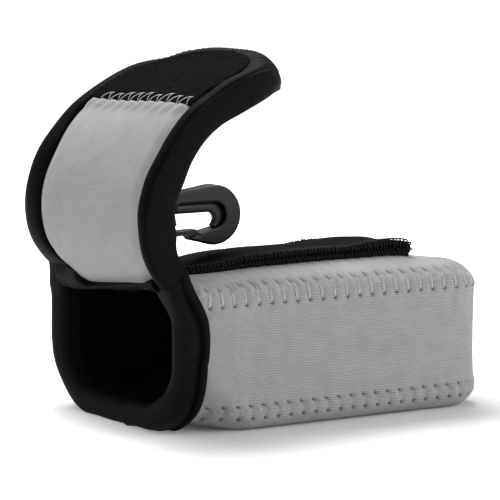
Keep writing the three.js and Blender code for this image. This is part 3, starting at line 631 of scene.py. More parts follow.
def pouch_base(s, t):
    """Outer surface of the pouch without its seams. t is 0 to 1 from the bottom's middle line
    outwards, 1 to 2 round the lower edge, 2 to 3 up the wall, 3 to 4 round the upper edge (both
    quarter ellipses), and 4 to 5 inwards over the crowned top to its middle line."""
    x, y, dx, dy = plan(s)
    flare, floor, low, high, height = pouch_levels(x)
    ends = ease(POUCH_LENGTH - PLAN_CORNER - 22, POUCH_LENGTH - PLAN_CORNER, x)
    top_run = between(MOUTH_TOP_CORNER, TOP_EDGE_SIDE, flare) + (TOP_EDGE_END - TOP_EDGE_SIDE) * ends
    low_run = between(MOUTH_BOTTOM_CORNER, BOTTOM_EDGE_SIDE, flare)
    low_run = low_run + (BOTTOM_EDGE_END - BOTTOM_EDGE_SIDE) * ends
    low_turn = np.clip(t - 1, 0, 1) * math.pi / 2
    top_turn = np.clip(t - 3, 0, 1) * math.pi / 2
    z = between(low, high, np.clip(t - 2, 0, 1)) + (height - high) * np.sin(top_turn)
    z = np.where(t < 2, floor + (low - floor) * (1 - np.cos(low_turn)), z)
    inset = np.where(t < 2, low_run * (1 - np.sin(low_turn)), top_run * (1 - np.cos(top_turn)))
    px, py = x - inset * dx, y - inset * dy
    share = np.where(t < 1, 1 - t, np.clip(t - 4, 0, 1))
    side_share = np.clip((x - MOUTH_EDGE) / (POUCH_LENGTH - PLAN_CORNER - MOUTH_EDGE), 0, 1)
    px = between(px, between(MOUTH_EDGE, SPINE_END, side_share), share)
    py = py * (1 - share)
    z = z + np.where(t > 4, POUCH_CROWN * (1 - (1 - share) ** 2), 0)
    return joined(px, py, z - settle(px, py, z))


def settle(x, y, z):
    """How far the soft top has sunk at x, y and height z: under the belt loop, most where the
    loop is sewn down, along the far side, and at the closed end's near corner."""
    under = ease(-29, -6, y) * (SINK_UNDER_LOOP + SINK_SEWN_END * (1 - ease(26, 66, x)))
    far_side = SINK_FAR_SIDE * ease(-4, 34, y)
    end_corner = SINK_END_CORNER * ease(104, 134, x) * ease(-52, -34, y) * (1 - 0.5 * ease(-20, 0, y))
    return (under + far_side + end_corner) * ease(14, 26, x) * ease(42, 57, z)


def profile_at(s, z):
    """The t at which the pouch's wall or upper or lower edge is at height z."""
    _, floor, low, high, height = pouch_levels(plan(s)[0])
    on_wall = 2 + (z - low) / (high - low)
    below = 1 + np.arccos(np.clip(1 - (z - floor) / (low - floor), -1, 1)) / (math.pi / 2)
    above = 3 + np.arcsin(np.clip((z - high) / (height - high), -1, 1)) / (math.pi / 2)
    return np.where(z < low, below, np.where(z > high, above, on_wall))


def stitch_offset(s, pitch):
    """Distance along the seam to the nearest thread."""
    turns = s / pitch
    return (turns - np.round(turns)) * pitch


def seam_relief(s, rise, half, pitch, pucker):
    """How far the cloth stands out near a seam, rise mm above its line, and the painted shade there,
    which follows its pits.
    It puffs up between the threads, sinks under each thread, has a slanted pit beside the thread's
    upper end and a small one under its lower end, and is drawn into small wrinkles above the line."""
    off = stitch_offset(s, pitch)
    v = rise / half
    puff = pucker * np.sin(math.pi * off / pitch) ** 2 * hump(-1.7, -0.9, 0.9, 1.8, v)
    trough = TROUGH_DEPTH * bump(off, 0.6) * hump(-1.2, -0.8, 0.7, 1.2, v)
    slant = off + 1.0 + 1.1 * (rise - 0.95 * half)
    pit_high = bump(slant, 0.55) * bump(rise - 0.95 * half, 0.6)
    pit_low = 0.9 * bump(off - 0.1, 0.55) * bump(rise + half, 0.6)
    # pits sets both how deep the pits are and the painted shade that darkens them
    pits = pit_high + pit_low
    crinkle = CRINKLE * slow_noise(s, rise * 1.4, 2.2, 4) * bump(rise - 0.45 * half, 0.5 * half)
    fan = FAN * np.sin(2 * math.pi * s / pitch + 0.5) * (bump(v - 2.0, 0.8) + bump(v + 2.0, 0.8))
    return puff - trough - PIT_DEPTH * pits + crinkle + fan, pits


def pouch_normal(s, t):
    """Outward direction of the pouch's surface, from the slopes along s and t. It is plumb on the
    middle lines, where both halves meet."""
    step = 1e-3
    inside_s = np.clip(s, 0.01, PERIMETER - 0.01)
    inside_t = np.clip(t, 0.01, 4.99)
    along = pouch_base(inside_s + step, inside_t) - pouch_base(inside_s - step, inside_t)
    up = pouch_base(inside_s, inside_t + step) - pouch_base(inside_s, inside_t - step)
    plumb = np.stack([0 * s, 0 * s, np.where(t > 2.5, 1.0, -1.0)], -1)
    middle = ((t <= 0) | (t >= 5))[..., None]
    return np.where(middle, plumb, unit(np.cross(along, up)))


def pouch_surface(s, t, inset=0.0, relief=True):
    """The pouch's surface with its two seams, and the painted shade at each point, darkest in the
    seams' pits; or drawn in by inset with no seams."""
    sizes = bpy.context.scene.case_sizes
    base = pouch_base(s, t)
    normal = pouch_normal(s, t)
    if not relief:
        return base - inset * normal
    pitch, pucker = mm(sizes.stitch_pitch), mm(sizes.pucker)
    rise_top, rise_low = base[..., 2] - TOP_STITCH_Z, base[..., 2] - BOTTOM_SEAM_Z
    high, top_seam_shade = seam_relief(s, rise_top, TOP_STITCH_HALF, pitch, pucker)
    low, low_seam_shade = seam_relief(s + 0.5 * pitch, rise_low, LOW_STITCH_HALF, pitch, pucker * 0.9)
    high_here, low_here = 1 - ease(3.75, 4.15, t), ease(0.8, 1.0, t)
    sway = 0.22 * slow_noise(s, base[..., 2], 46, 9) * ease(10, 22, base[..., 2]) * (1 - ease(4.4, 5, t))
    fade = ease(0, 6, s) * ease(0, 6, PERIMETER - s)
    out = (high * high_here + low * low_here) * fade + sway
    # Painted shade: the colour is darkened in the seams' pits, as if shade fell there
    painted_shade = (top_seam_shade * high_here + low_seam_shade * low_here) * fade
    return base + normal * out[..., None], np.clip(painted_shade, 0, 1)


def columns_round(spacing):
    """Values of s round the pouch, mirrored so that both halves meet on the middle line."""
    half = np.linspace(0, PERIMETER / 2, int(PERIMETER / 2 / spacing))
    return np.concatenate([half, PERIMETER - half[-2::-1]])


def profile_rows(s, marks):
    """Rows of t for all columns. marks is a list of (kind, value): "t" a plain t, "z" a height on
    the wall or its edges, "low" a share of the way from the bottom's edge up to LOW_ROWS_Z, and
    "high" a share of the way from the top's edge down to HIGH_ROWS_Z."""
    low_end, high_end = (profile_at(s, np.full_like(s, z)) for z in (LOW_ROWS_Z, HIGH_ROWS_Z))
    places = {
        "t": lambda value: np.full_like(s, value),
        "z": lambda value: profile_at(s, np.full_like(s, value)),
        "low": lambda value: between(1, low_end, value),
        "high": lambda value: between(4, high_end, value),
    }
    return np.stack([places[kind](value) for kind, value in marks], 1)


def marked(kind, *values):
    """Marks of one kind for rows of the pouch."""
    return [(kind, value) for value in values]


def panel(name, marks, closed, nodes, cloth):
    """One neoprene panel: the outer surface with its seam relief, an inner one 5 mm in."""
    s = columns_round(0.45)
    t = profile_rows(s, marks)
    s2 = np.repeat(s[:, None], t.shape[1], 1)
    outer, painted_shade = pouch_surface(s2, t)
    inner = pouch_surface(s2, t, NEOPRENE, relief=False)
    piece = walled(name, outer, inner, joined(s2, run_along(pouch_base(s2, t))), closed, painted_shade)
    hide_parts(*nodes)
    finish_piece(piece, cloth, "pouch")
    return piece


def seam_threads(name, seam_z, half, shift):
    """Two strands for each stitch: a line up the wall across the seam, sunk at both ends."""
    sizes = bpy.context.scene.case_sizes
    pitch = mm(sizes.stitch_pitch)
    first = math.ceil(SEAM_START / pitch) + shift
    last = math.floor((PERIMETER - SEAM_START) / pitch) - shift
    at = (np.arange(first, last) - shift) * pitch
    steps = np.linspace(-1, 0.8, 9)
    paths = []
    for aside in (-1.0, 1.0):
        s = at[:, None] + aside * (0.12 + 0.2 * (steps + 1)) + 0.25 * steps
        z = np.clip(seam_z + half * steps, 1.2, 58) + 0 * s
        t = profile_at(s, z)
        lift = 0.3 - 0.8 * steps ** 6
        paths.append(pouch_base(s, t) + pouch_normal(s, t) * np.broadcast_to(lift, s.shape)[..., None])
    piece = tubes(name, np.concatenate(paths), mm(sizes.thread_radius))
    return finish_piece(piece, "grey_sewing_thread", "pouch")


class CASE_OT_pouch(bpy.types.Operator):
    """Make the pouch's three neoprene panels and the threads of their two seams"""

    bl_idname = "case.pouch"
    bl_label = "Pouch"

    def execute(self, context):
        top = marked("t", 5, 4.8, 4.6, 4.4, 4.2, 4.05) + marked("high", *np.linspace(0.1, 0.92, 9))
        top += marked("z", *np.arange(HIGH_ROWS_Z, TOP_STITCH_Z + 0.2, -0.4))
        top += marked("z", TOP_STITCH_Z + 0.1, TOP_STITCH_Z)
        panel("back_neoprene", top, (False, True), ["back_panel"], "grey_knit_flap")
        wall = marked("z", BOTTOM_SEAM_Z, *np.arange(BOTTOM_SEAM_Z + 0.1, 12, 0.4))
        wall += marked("z", *np.arange(12.5, 43, 2.0))
        wall += marked("z", *np.arange(43.5, TOP_STITCH_Z - 0.3, 0.45), TOP_STITCH_Z - 0.1, TOP_STITCH_Z)
        panel("gusset_neoprene", wall, (True, True), ["side_gusset"], "grey_knit_neoprene")
        low = marked("t", 0, 0.3, 0.6, 0.9) + marked("low", *np.linspace(0, 0.85, 6))
        low += marked("z", *np.arange(LOW_ROWS_Z, BOTTOM_SEAM_Z - 0.3, 0.4))
        low += marked("z", BOTTOM_SEAM_Z - 0.1, BOTTOM_SEAM_Z)
        panel("front_neoprene", low, (False, True), ["front_panel"], "grey_knit_neoprene")
        seam_threads("back_seam_threads", TOP_STITCH_Z, TOP_STITCH_HALF, 0)
        seam_threads("front_seam_threads", BOTTOM_SEAM_Z, LOW_STITCH_HALF, 0.5)
        return {"FINISHED"}


class CASE_OT_lining(bpy.types.Operator):
    """Make the black lining inside the pouch"""

    bl_idname = "case.lining"
    bl_label = "Lining"

    def execute(self, context):
        s = columns_round(3.0)
        rows = np.concatenate([[0]] + [
            np.linspace(start, start + 1, count)[1:] for start, count in enumerate((5, 8, 8, 8, 6))])
        s2, t = np.meshgrid(s, rows, indexing="ij")
        soft = 0.35 * slow_noise(s2, t * 20, 24, 21)
        outer = pouch_surface(s2, t, NEOPRENE + 0.35, relief=False)
        inner = pouch_surface(s2, t, NEOPRENE + 1.0, relief=False)
        away = np.clip(t, 0, 1) * np.clip(5 - t, 0, 1)
        inner = inner + pouch_normal(s2, t) * (np.minimum(0, soft) * away)[..., None]
        piece = walled("black_lining", outer, inner, joined(s2, t * 20), (False, False))
        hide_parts("pouch_lining")
        finish_piece(piece, "black_brushed_lining", "pouch")
        return {"FINISHED"}


# Flap: s along its inner face from the hinge, n from the inner face to the outer one

def flap_frame(s):
    """Point on the inner face, tangent and normal in X and Z: six arcs end to end, each of one
    stretch's length, turning clockwise by its own bend. The first and last run on past the ends."""
    s = np.asarray(s, float)
    x = np.full_like(s, HINGE_X)
    z = np.full_like(s, HINGE_Z)
    start = math.radians(FLAP_START_ANGLE)
    turned = np.zeros_like(s)
    last = len(FLAP_BEND_ANGLES) - 1
    for i, bend in enumerate(FLAP_BEND_ANGLES):
        low = -np.inf if i == 0 else 0
        high = np.inf if i == last else FLAP_STRETCH
        radius = FLAP_STRETCH / math.radians(bend)
        turn = np.clip(s - i * FLAP_STRETCH, low, high) / radius
        x = x + radius * (math.sin(start) - np.sin(start - turn))
        z = z + radius * (np.cos(start - turn) - math.cos(start))
        turned = turned + turn
        start -= math.radians(bend)
    angle = math.radians(FLAP_START_ANGLE) - turned
    return x, z, np.cos(angle), np.sin(angle)


def on_flap(s, y, n):
    """Point at s along the flap, y across it and n from its inner face. The sewn flap is softer
    than its stretches: it swells above the hinge, its near edge stands further back, its far
    corner is lifted, and its tip is drawn in."""
    swell = 0.16 * bump(s - 19, 7.5) + 0.09 * (hump(14, 26, 44, 58, s) + ease(76, 90, s))
    n = n * (1 + swell)
    n = n - EDGE_BACK * ease(26, -34, y) * hump(46, 74, 110, 128, s)
    n = n - CORNER_LIFT * ease(-46, -4, y) * ease(104, 130, s)
    s = s - TIP_DRAWN_IN * ease(TIP_START, FLAP_LENGTH, s)
    x, z, tx, tz = flap_frame(s)
    return np.stack([x + n * tz, y + 0 * x, z - n * tx], -1)


def tip_half(s, inset):
    """Half width of the flap at s, inset mm in from its edge: straight, then a round corner."""
    radius = FLAP_TIP_CORNER - inset
    past = np.clip((s - TIP_START) / radius, 0, 1)
    return TIP_FLAT + radius * np.sqrt(1 - past ** 2)


def flap_cuts():
    """Where the flap's pieces meet: halfway up each stretch, so that each piece spans one hinge."""
    middles = [(k + 0.5) * FLAP_STRETCH for k in range(6)]
    return [0.0] + middles


def bend_over(piece, k):
    """Bakes the piece's placement into its points. The flap's frame at hinge k is worked out but
    not used, and nothing makes the piece bend there."""
    x, z, tx, tz = (float(v) for v in flap_frame(k * FLAP_STRETCH))
    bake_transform(piece)


def root_widening(s, far):
    """How much wider the black strip is than its plain width. The far one spreads into a web over
    the corner at the flap's root and is wider all up the flap's lower half; the near one is a
    little narrower above the root."""
    lower = 3.4 * (1 - ease(46, 70, s)) + 2.6 * (1 - ease(0, 12, s)) + 8 * (1 - ease(-1, 7, s))
    return np.where(far, lower, -1.2 * hump(2, 8, 24, 36, s))


def root_pull(s):
    """How far the inner face is pulled forwards at the root, most below the hinge."""
    return FOOT_PULL * (1 - ease(-3, 9, s))


def hem_end(y):
    """Where the grey face ends below the hinge, as s: it runs down towards the far side and is
    cut off there by the web of the far strip."""
    slope = -2.75 - 0.149 * y
    return np.where(y > 0, np.minimum(slope + 9 * ease(15.5, 25.5, y), 0.4), slope)


def core_section(s, w):
    """Outline of the grey body of the flap at s, for w from 0 to 4: the inner face from the near
    edge to the far one, the far edge, the outer face back, the near edge. The inner face sinks
    to the bindings and is a little uneven; it sinks under the hook patch too, and is pulled
    forwards at the root."""
    side = np.where(w < 2, w - 1, 3 - w)
    reach = tip_half(s, 4.0 + 2.0 * ease(-8, 2, s - TIP_START))
    y = side * reach
    inset = tip_half(s, 0) - np.abs(y)
    lip = FLAP_BINDING_INNER + root_widening(s, y > 0)
    pillow = PILLOW * (1 - ease(-1, 6, inset - lip)) - 0.35
    uneven = 0.22 * slow_noise(s, y, 30, 3) * ease(8, 16, inset)
    patch = 1.1 * ease(-0.5, 1.5, s - HOOK_PATCH_START) + 0.5 * ease(-6, 4, s - TIP_START)
    pull = root_pull(s) * ease(-1, 7, inset - lip)
    face = pillow + uneven + patch - pull + hem_puckers(s, y)
    outer = FLAP_THICKNESS - 1.6 * (1 - ease(10, 17, inset)) + 0.3 + 0.2 * slow_noise(s, y, 34, 5)
    outer = np.where(s < 0, face + 1.6, outer)
    return y, np.where(w < 2, face, outer)


def hem_puckers(s, y):
    """The grey cloth below the hook patch is drawn into small puffs between the zigzag threads."""
    pitch = mm(bpy.context.scene.case_sizes.zigzag_pitch)
    beyond = s - HOOK_PATCH_START
    lean = y + 0.35 * beyond
    puffs = 0.5 - 1.5 * np.abs(np.sin(math.pi * lean / pitch)) ** 0.8
    return hump(-6.5, -3, -0.8, 0.4, beyond) * puffs


def rows_between(low, high, step, crowded):
    """Rows of s from low to high, about step apart, or crowded towards high."""
    share = np.linspace(0, 1, int((high - low) / step) + 2)
    if crowded:
        share = np.sin(share * math.pi / 2)
    return with_close_ends(between(low, high, share))


def flap_core(k, low, high):
    """A stretch of the flap's grey body as a closed loft from s = low to high."""
    w = np.concatenate([np.linspace(0, 2, 91), np.linspace(2, 4, 31)])
    s, w = np.meshgrid(rows_between(low, high, 0.9, k == 6), w, indexing="ij")
    y, n = core_section(s, w)
    piece = ring_loft(f"flap_body_{k}", on_flap(s, y, n), joined(y, s), hem_shade(s, y))
    numbers = [i for i in (k, k + 1) if 1 <= i <= 6]
    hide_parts(*[f"flap_{side}_layer_{i}" for side in ("inner", "outer") for i in numbers])
    finish_piece(piece, "grey_knit_flap")
    if k < 6:
        bend_over(piece, k)
    else:
        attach(piece, "flap_6")


def binding_channel(round_tip):
    """Section of the flap's binding as inset from the edge and n, all the way round: lip on the
    inner face, puffed strip, stitched groove at the corner, side band, lip on the outer face, and
    back inside against the grey body. Where round_tip is 1 the groove is gone and the strip runs
    into the side band in one curve."""
    strip = [[8.5, 1.6], [8.45, 0.5], [8.0, -0.05], [7.0, -0.45], [5.4, -0.7], [3.6, -0.65],
             [2.3, -0.35], [1.6, 0.2], [1.25, 0.85], [0.95, 0.8], [0.6, 0.25], [0.2, 0.15]]
    nose = [[8.5, 1.6], [8.45, 0.7], [8.0, 0.3], [7.0, 0.05], [5.6, 0.1], [4.4, 0.4],
            [3.4, 0.95], [2.5, 1.65], [1.8, 2.35], [1.2, 3.05], [0.75, 3.75], [0.35, 4.4]]
    turn = np.radians(np.linspace(-60, 60, 9))
    edge = np.stack([0.55 - 1.4 * np.cos(turn), 5.0 + 5.0 * np.sin(turn)], -1)
    nose_edge = np.stack([1.1 - 1.4 * np.cos(turn), 7.4 + 2.6 * np.sin(turn)], -1)
    outer_strip = [[0.5, 10.2], [1.5, 10.7], [4.6, 10.9], [7.5, 10.8], [9.8, 10.5], [10.8, 10.0],
                   [11.0, 9.2]]
    inside = [[4.4, 8.6], [3.4, 5.2], [4.4, 2.2]]
    plain = np.array(strip + edge.tolist() + outer_strip + inside)
    blunt = np.array(nose + nose_edge.tolist() + outer_strip + inside)
    section = between(plain, blunt, round_tip[..., None])
    return section[..., 0], section[..., 1]


def strip_widening(inset, n, s0, turn, far):
    """Extra inset of the strip's inner lip at the root and round the tip."""
    extra = root_widening(s0, far) + 5.6 * ease(0.1, 0.9, turn)
    return extra * ease(2.5, 8.0, inset) * (n < 2)


def strip_shade(inset, n, turn):
    """The strip on the inner face lies in shade and looks darker than the side band, least at the
    tip."""
    return 0.5 * ease(0.9, 2.2, inset) * (n < 2.4) * (1 - 0.8 * ease(0.3, 1.2, turn))


def binding_run(name, s0, turn, side, centre, travel, ripple_size, seed=0):
    """Binding whose stations lie at s0 and turn: straight up the edge, then radially round the tip
    about centre. Its puffed parts ripple a little along the run, and it is gathered at the tip."""
    inset, n = binding_channel(ease(0.1, 0.85, turn))
    begun = ease(0, 10, travel)
    full = np.clip(1 - np.abs(n - 5.2) / 5.2, 0, 1) * begun
    ripple = ripple_size * slow_noise(travel, n * 2, 15, seed)
    gather = 0.14 * np.sin(2 * math.pi * travel / 3.4) * ease(0.2, 0.9, turn) * (n < 1.5)
    inset = inset - ripple * full + strip_widening(inset, n, s0, turn, side > 0)
    n = n + (ripple * 0.6 * begun + gather) * (n < 3)
    radius = FLAP_TIP_CORNER - inset
    s = s0 + radius * np.sin(turn)
    y = centre + side * radius * np.cos(turn)
    uv = joined(travel, np.linspace(0, 44, s.shape[1])[None])
    return ring_loft(name, on_flap(s, y, n), uv, strip_shade(inset, n, turn))


def straight_stations(low, high):
    """Stations (s, turn) every 1.2 mm along the straight edge."""
    count = max(2, int((high - low) / 1.2) + 1)
    return joined(np.linspace(low, high, count), 0.0)


def round_stations(low, high):
    """Stations (s, turn) round the tip's corner, between two angles in radians."""
    count = max(2, int((high - low) * FLAP_TIP_CORNER / 1.1) + 1)
    return joined(float(TIP_START), np.linspace(low, high, count))


def hem_shade(s, y):
    """The grey face turns under above the mouth and lies in its own shade there."""
    return 0.75 * (1 - ease(-0.5, 7, s - hem_end(y))) ** 1.5


def root_hem():
    """The grey face runs on a little way below the hinge, on the pouch, behind the top strip."""
    s, w = np.meshgrid(with_close_ends(np.linspace(-1, 0, 8)), np.linspace(0, 4, 123), indexing="ij")
    y, _ = core_section(0 * s, w)
    s = s * np.maximum(0.8 - hem_end(np.minimum(y, 17.0)), 0.1)
    y, n = core_section(s, w)
    y = np.clip(y, -40, 26)
    piece = ring_loft("flap_root_hem", on_flap(s, y, n), joined(y, s), hem_shade(s, y))
    finish_piece(piece, "grey_knit_flap", "pouch")


def root_fillet():
    """Behind the hinge the cloth runs from the flap's outer face on to the back panel in a concave
    curve (a quadratic Bezier), with a body below it that fills the step at the flap's foot."""
    y = np.linspace(-35, 35, 60)
    lip = on_flap(1.0 + 0 * y, y, FLAP_THICKNESS + 0.25)
    t = np.linspace(0, 1, 11)[None]
    bend_x, foot_x = 5.4, 14.0
    foot_z = back_height(foot_x, y)[:, None] - 0.1
    bend_z = back_height(bend_x, y)[:, None] + 0.2
    x = (1 - t) ** 2 * lip[:, :1] + 2 * t * (1 - t) * bend_x + t ** 2 * foot_x
    z = (1 - t) ** 2 * lip[:, 2:] + 2 * t * (1 - t) * bend_z + t ** 2 * foot_z
    x = np.concatenate([x, foot_x - 1 + 0 * foot_z, 3 + 0 * foot_z], 1)
    z = np.concatenate([z, foot_z - 1.2, foot_z - 1.5], 1)
    uv = joined(y[:, None], np.linspace(0, 16, x.shape[1])[None])
    piece = ring_loft("flap_root_fillet", joined(x, y[:, None], z), uv)
    finish_piece(piece, "grey_knit_flap", "pouch")


def flap_bindings():
    """Near and far runs, cut where the flap's pieces meet, and one piece round the tip."""
    cuts = flap_cuts()
    for side, word in ((-1, "near"), (1, "far")):
        for k in range(6):
            if k < 4:
                stations = straight_stations(cuts[k], cuts[k + 1])
            elif k == 4:
                stations = np.concatenate([
                    straight_stations(cuts[k], TIP_START), round_stations(0, TIP_CUTS[0])[1:]])
            else:
                stations = round_stations(*TIP_CUTS)
            s0, turn = np.hsplit(with_close_ends(stations), 2)
            piece = binding_run(
                f"flap_edge_{word}_{k}", s0, turn, side, side * TIP_FLAT, s0 + FLAP_TIP_CORNER * turn,
                ripple_size=0.3, seed=11 + side)
            finish_piece(piece, "black_stretch_binding")
            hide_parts(*[f"flap_binding_{word}_{i}" for i in (k, k + 1) if 1 <= i <= 5])
            bend_over(piece, k)
    tip_piece()


def tip_piece():
    """The binding round the tip: the near corner, the short straight middle and the far corner."""
    half = with_close_ends(round_stations(TIP_CUTS[1], math.pi / 2))[:, 1:]
    middle = np.linspace(-1, 1, 16)[1:-1, None]
    turn = np.concatenate([half, 0 * middle + math.pi / 2, half[::-1]])
    side = np.concatenate([0 * half - 1, 0 * middle, 0 * half + 1])
    centre = np.concatenate([0 * half - 1, middle, 0 * half + 1]) * TIP_FLAT
    travel = TIP_START + FLAP_TIP_CORNER * turn + centre
    piece = binding_run("flap_edge_tip", TIP_START, turn, side, centre, travel, ripple_size=0)
    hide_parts("flap_binding_tip")
    finish_piece(piece, "black_stretch_binding", "flap_6")


def patch_half(s):
    """Half width of the hook patch: it tucks under the strip, which is wider round the tip."""
    return tip_half(s + PATCH_TUCK * ease(TIP_START, PATCH_END, s), FLAP_BINDING_INNER + 0.3)


def hook_patch(k, low, high):
    """A stretch of the hook patch: a thin closed sheet with rounded edges and an uneven pile."""
    across, back = 95, 21
    w = np.concatenate([np.linspace(-1, 1, across), np.linspace(1, -1, back)[1:-1]])
    top = np.arange(len(w)) < across
    s, w = np.meshgrid(rows_between(low, high, 0.8, k == 5), w, indexing="ij")
    y = w * patch_half(s)
    inset = patch_half(s) - np.abs(y)
    begun = ease(0, 1.2, s - HOOK_PATCH_START)
    round_off = 0.55 * (1 - np.sqrt(np.clip(inset / 1.2, 0, 1))) + 0.6 * (1 - begun)
    pile = 0.10 * slow_noise(s, y, 1.7, 31) + 0.16 * slow_noise(s, y, 6, 32)
    n = np.where(top, -0.55 + round_off + pile * (inset > 0.4), 0.55)
    piece = ring_loft(f"hook_tape_{k}", on_flap(s, y, n), joined(y, s))
    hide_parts(*[f"flap_hook_patch_{i}" for i in (k, k + 1)])
    finish_piece(piece, "black_hook_tape")
    bend_over(piece, k)


def zigzag():
    """Threads of the hook patch's seam: up from each valley of the grey hem on to the patch,
    leaning to one side, and down to the next valley, each an arc that stands off the cloth."""
    pitch = mm(bpy.context.scene.case_sizes.zigzag_pitch)
    half = FLAP_HALF_WIDTH - FLAP_BINDING_INNER - 2
    base = np.arange(-math.floor(half / pitch), math.floor(half / pitch) + 1) * pitch
    t = np.linspace(0, 1, 9)[None]
    chance = np.random.default_rng(6)
    jitter = chance.uniform(-0.6, 0.6, (len(base), 1))
    top_y = base[:, None] - 0.75 * pitch + jitter
    top_s = HOOK_PATCH_START + 4.6 + chance.uniform(-0.7, 0.7, (len(base), 1))
    low_s = HOOK_PATCH_START - 0.9
    paths = []
    for start, end in ((base[:, None], top_y), (np.maximum(base[:, None] - pitch, -half), top_y)):
        y = between(start, end, t ** 0.85)
        s = between(low_s, top_s, t)
        n = -0.35 - 1.1 * np.sin(math.pi * t) ** 0.8 - 0.25 * t
        paths.append(on_flap(s, y, n))
    piece = tubes("zigzag_threads", np.concatenate(paths), 0.13)
    finish_piece(piece, "grey_sewing_thread", "flap_4")


class CASE_OT_flap(bpy.types.Operator):
    """Make the flap's grey body, its bindings, the hook patch and its zigzag seam"""

    bl_idname = "case.flap"
    bl_label = "Flap"

    def execute(self, context):
        cuts = flap_cuts() + [FLAP_LENGTH - 4.0]
        for k in range(7):
            flap_core(k, cuts[k], cuts[k + 1])
        root_hem()
        root_fillet()
        flap_bindings()
        hook_patch(4, HOOK_PATCH_START, cuts[5])
        hook_patch(5, cuts[5], PATCH_END)
        zigzag()
        return {"FINISHED"}


# Mouth

def mouth_front(z):
    """Front edge of the mouth binding: scooped at mid height, leaning out to the hinge."""
    lean = (MOUTH_SCOOP + 2) * ease(MOUTH_LEAN_START, MOUTH_HEIGHT, z)
    return MOUTH_SCOOP * ease(0, MOUTH_BOTTOM_CORNER, z) - lean


ROOT_X, ROOT_Z = (float(v) for v in on_flap(0.0, 0.0, FLAP_THICKNESS)[[0, 2]])


def mouth_path():
    """Stations from the near root of the flap, down, round the bottom and up to the far root: Y,
    the heights of a front point and a back point, X of the back point, and the outward direction
    in Y and Z. Up the side the back point climbs faster than the front one, so the last station
    lies on the root."""
    half = MOUTH_WIDTH / 2
    corner = MOUTH_BOTTOM_CORNER
    low = MOUTH_LIFT + corner
    rise = np.linspace(1, 0, 30)[:-1]
    back_z = between(low, ROOT_Z, rise)
    lean_start = (MOUTH_LEAN_START - low) / (ROOT_Z - low)
    back_x = between(MOUTH_BINDING_OUTER, ROOT_X, ease(lean_start, 1, rise)) + 0.9 * bump(back_z - 36, 8)
    side = joined(-half, between(low, HINGE_Z, rise), back_z, back_x, -1, 0)
    turn = np.radians(np.linspace(180, 270, 34))
    c, z = np.cos(turn), low + corner * np.sin(turn)
    arc = joined(-half + corner + corner * c, z, z, MOUTH_BINDING_OUTER, c, np.sin(turn))
    bottom_y = np.linspace(-half + corner, 0, 16)[1:]
    flat = joined(bottom_y, MOUTH_LIFT, MOUTH_LIFT, MOUTH_BINDING_OUTER, 0, -1)
    near = np.concatenate([side, arc, flat])
    far = near[-2::-1] * np.array([-1, 1, 1, 1, -1, 1])
    return np.concatenate([near, far])


def mouth_section():
    """Section of the mouth binding as [share from front to back, mm behind it, mm out from the
    wall]: puffed band, stitched crease, roll at the back made darker by painted shade, front with
    two round corners, and a slot for the wall's edge."""
    roll = [[1, -0.1, 0.35], [1, 0.35, 1.0], [1, 0.2, 1.9], [1, -0.7, 2.45], [1, -1.8, 2.5],
            [1, -2.6, 2.05], [1, -3.1, 1.45], [1, -3.5, 1.35], [1, -4.1, 1.75], [1, -5.2, 2.2],
            [0.5, 0, 2.5]]
    turn = np.radians(np.linspace(0, 90, 7))
    r = 3.2
    outer_corner = [[0, r - r * math.sin(a), -0.75 + r * math.cos(a)] for a in turn]
    inner_corner = [[0, r - r * math.cos(a), -4.2 - r * math.sin(a)] for a in turn]
    middle = [[0, -0.25, -1.7], [0, -0.3, -2.6], [0, -0.2, -3.5]]
    inner = [[0, 6.5, -7.3], [0, 8.4, -7.0], [0, 9.0, -6.3], [0, 9.0, -5.3], [0, 4.2, -5.3],
             [0, 4.2, 0.3]]
    return np.array(roll + outer_corner + middle + inner_corner + inner)


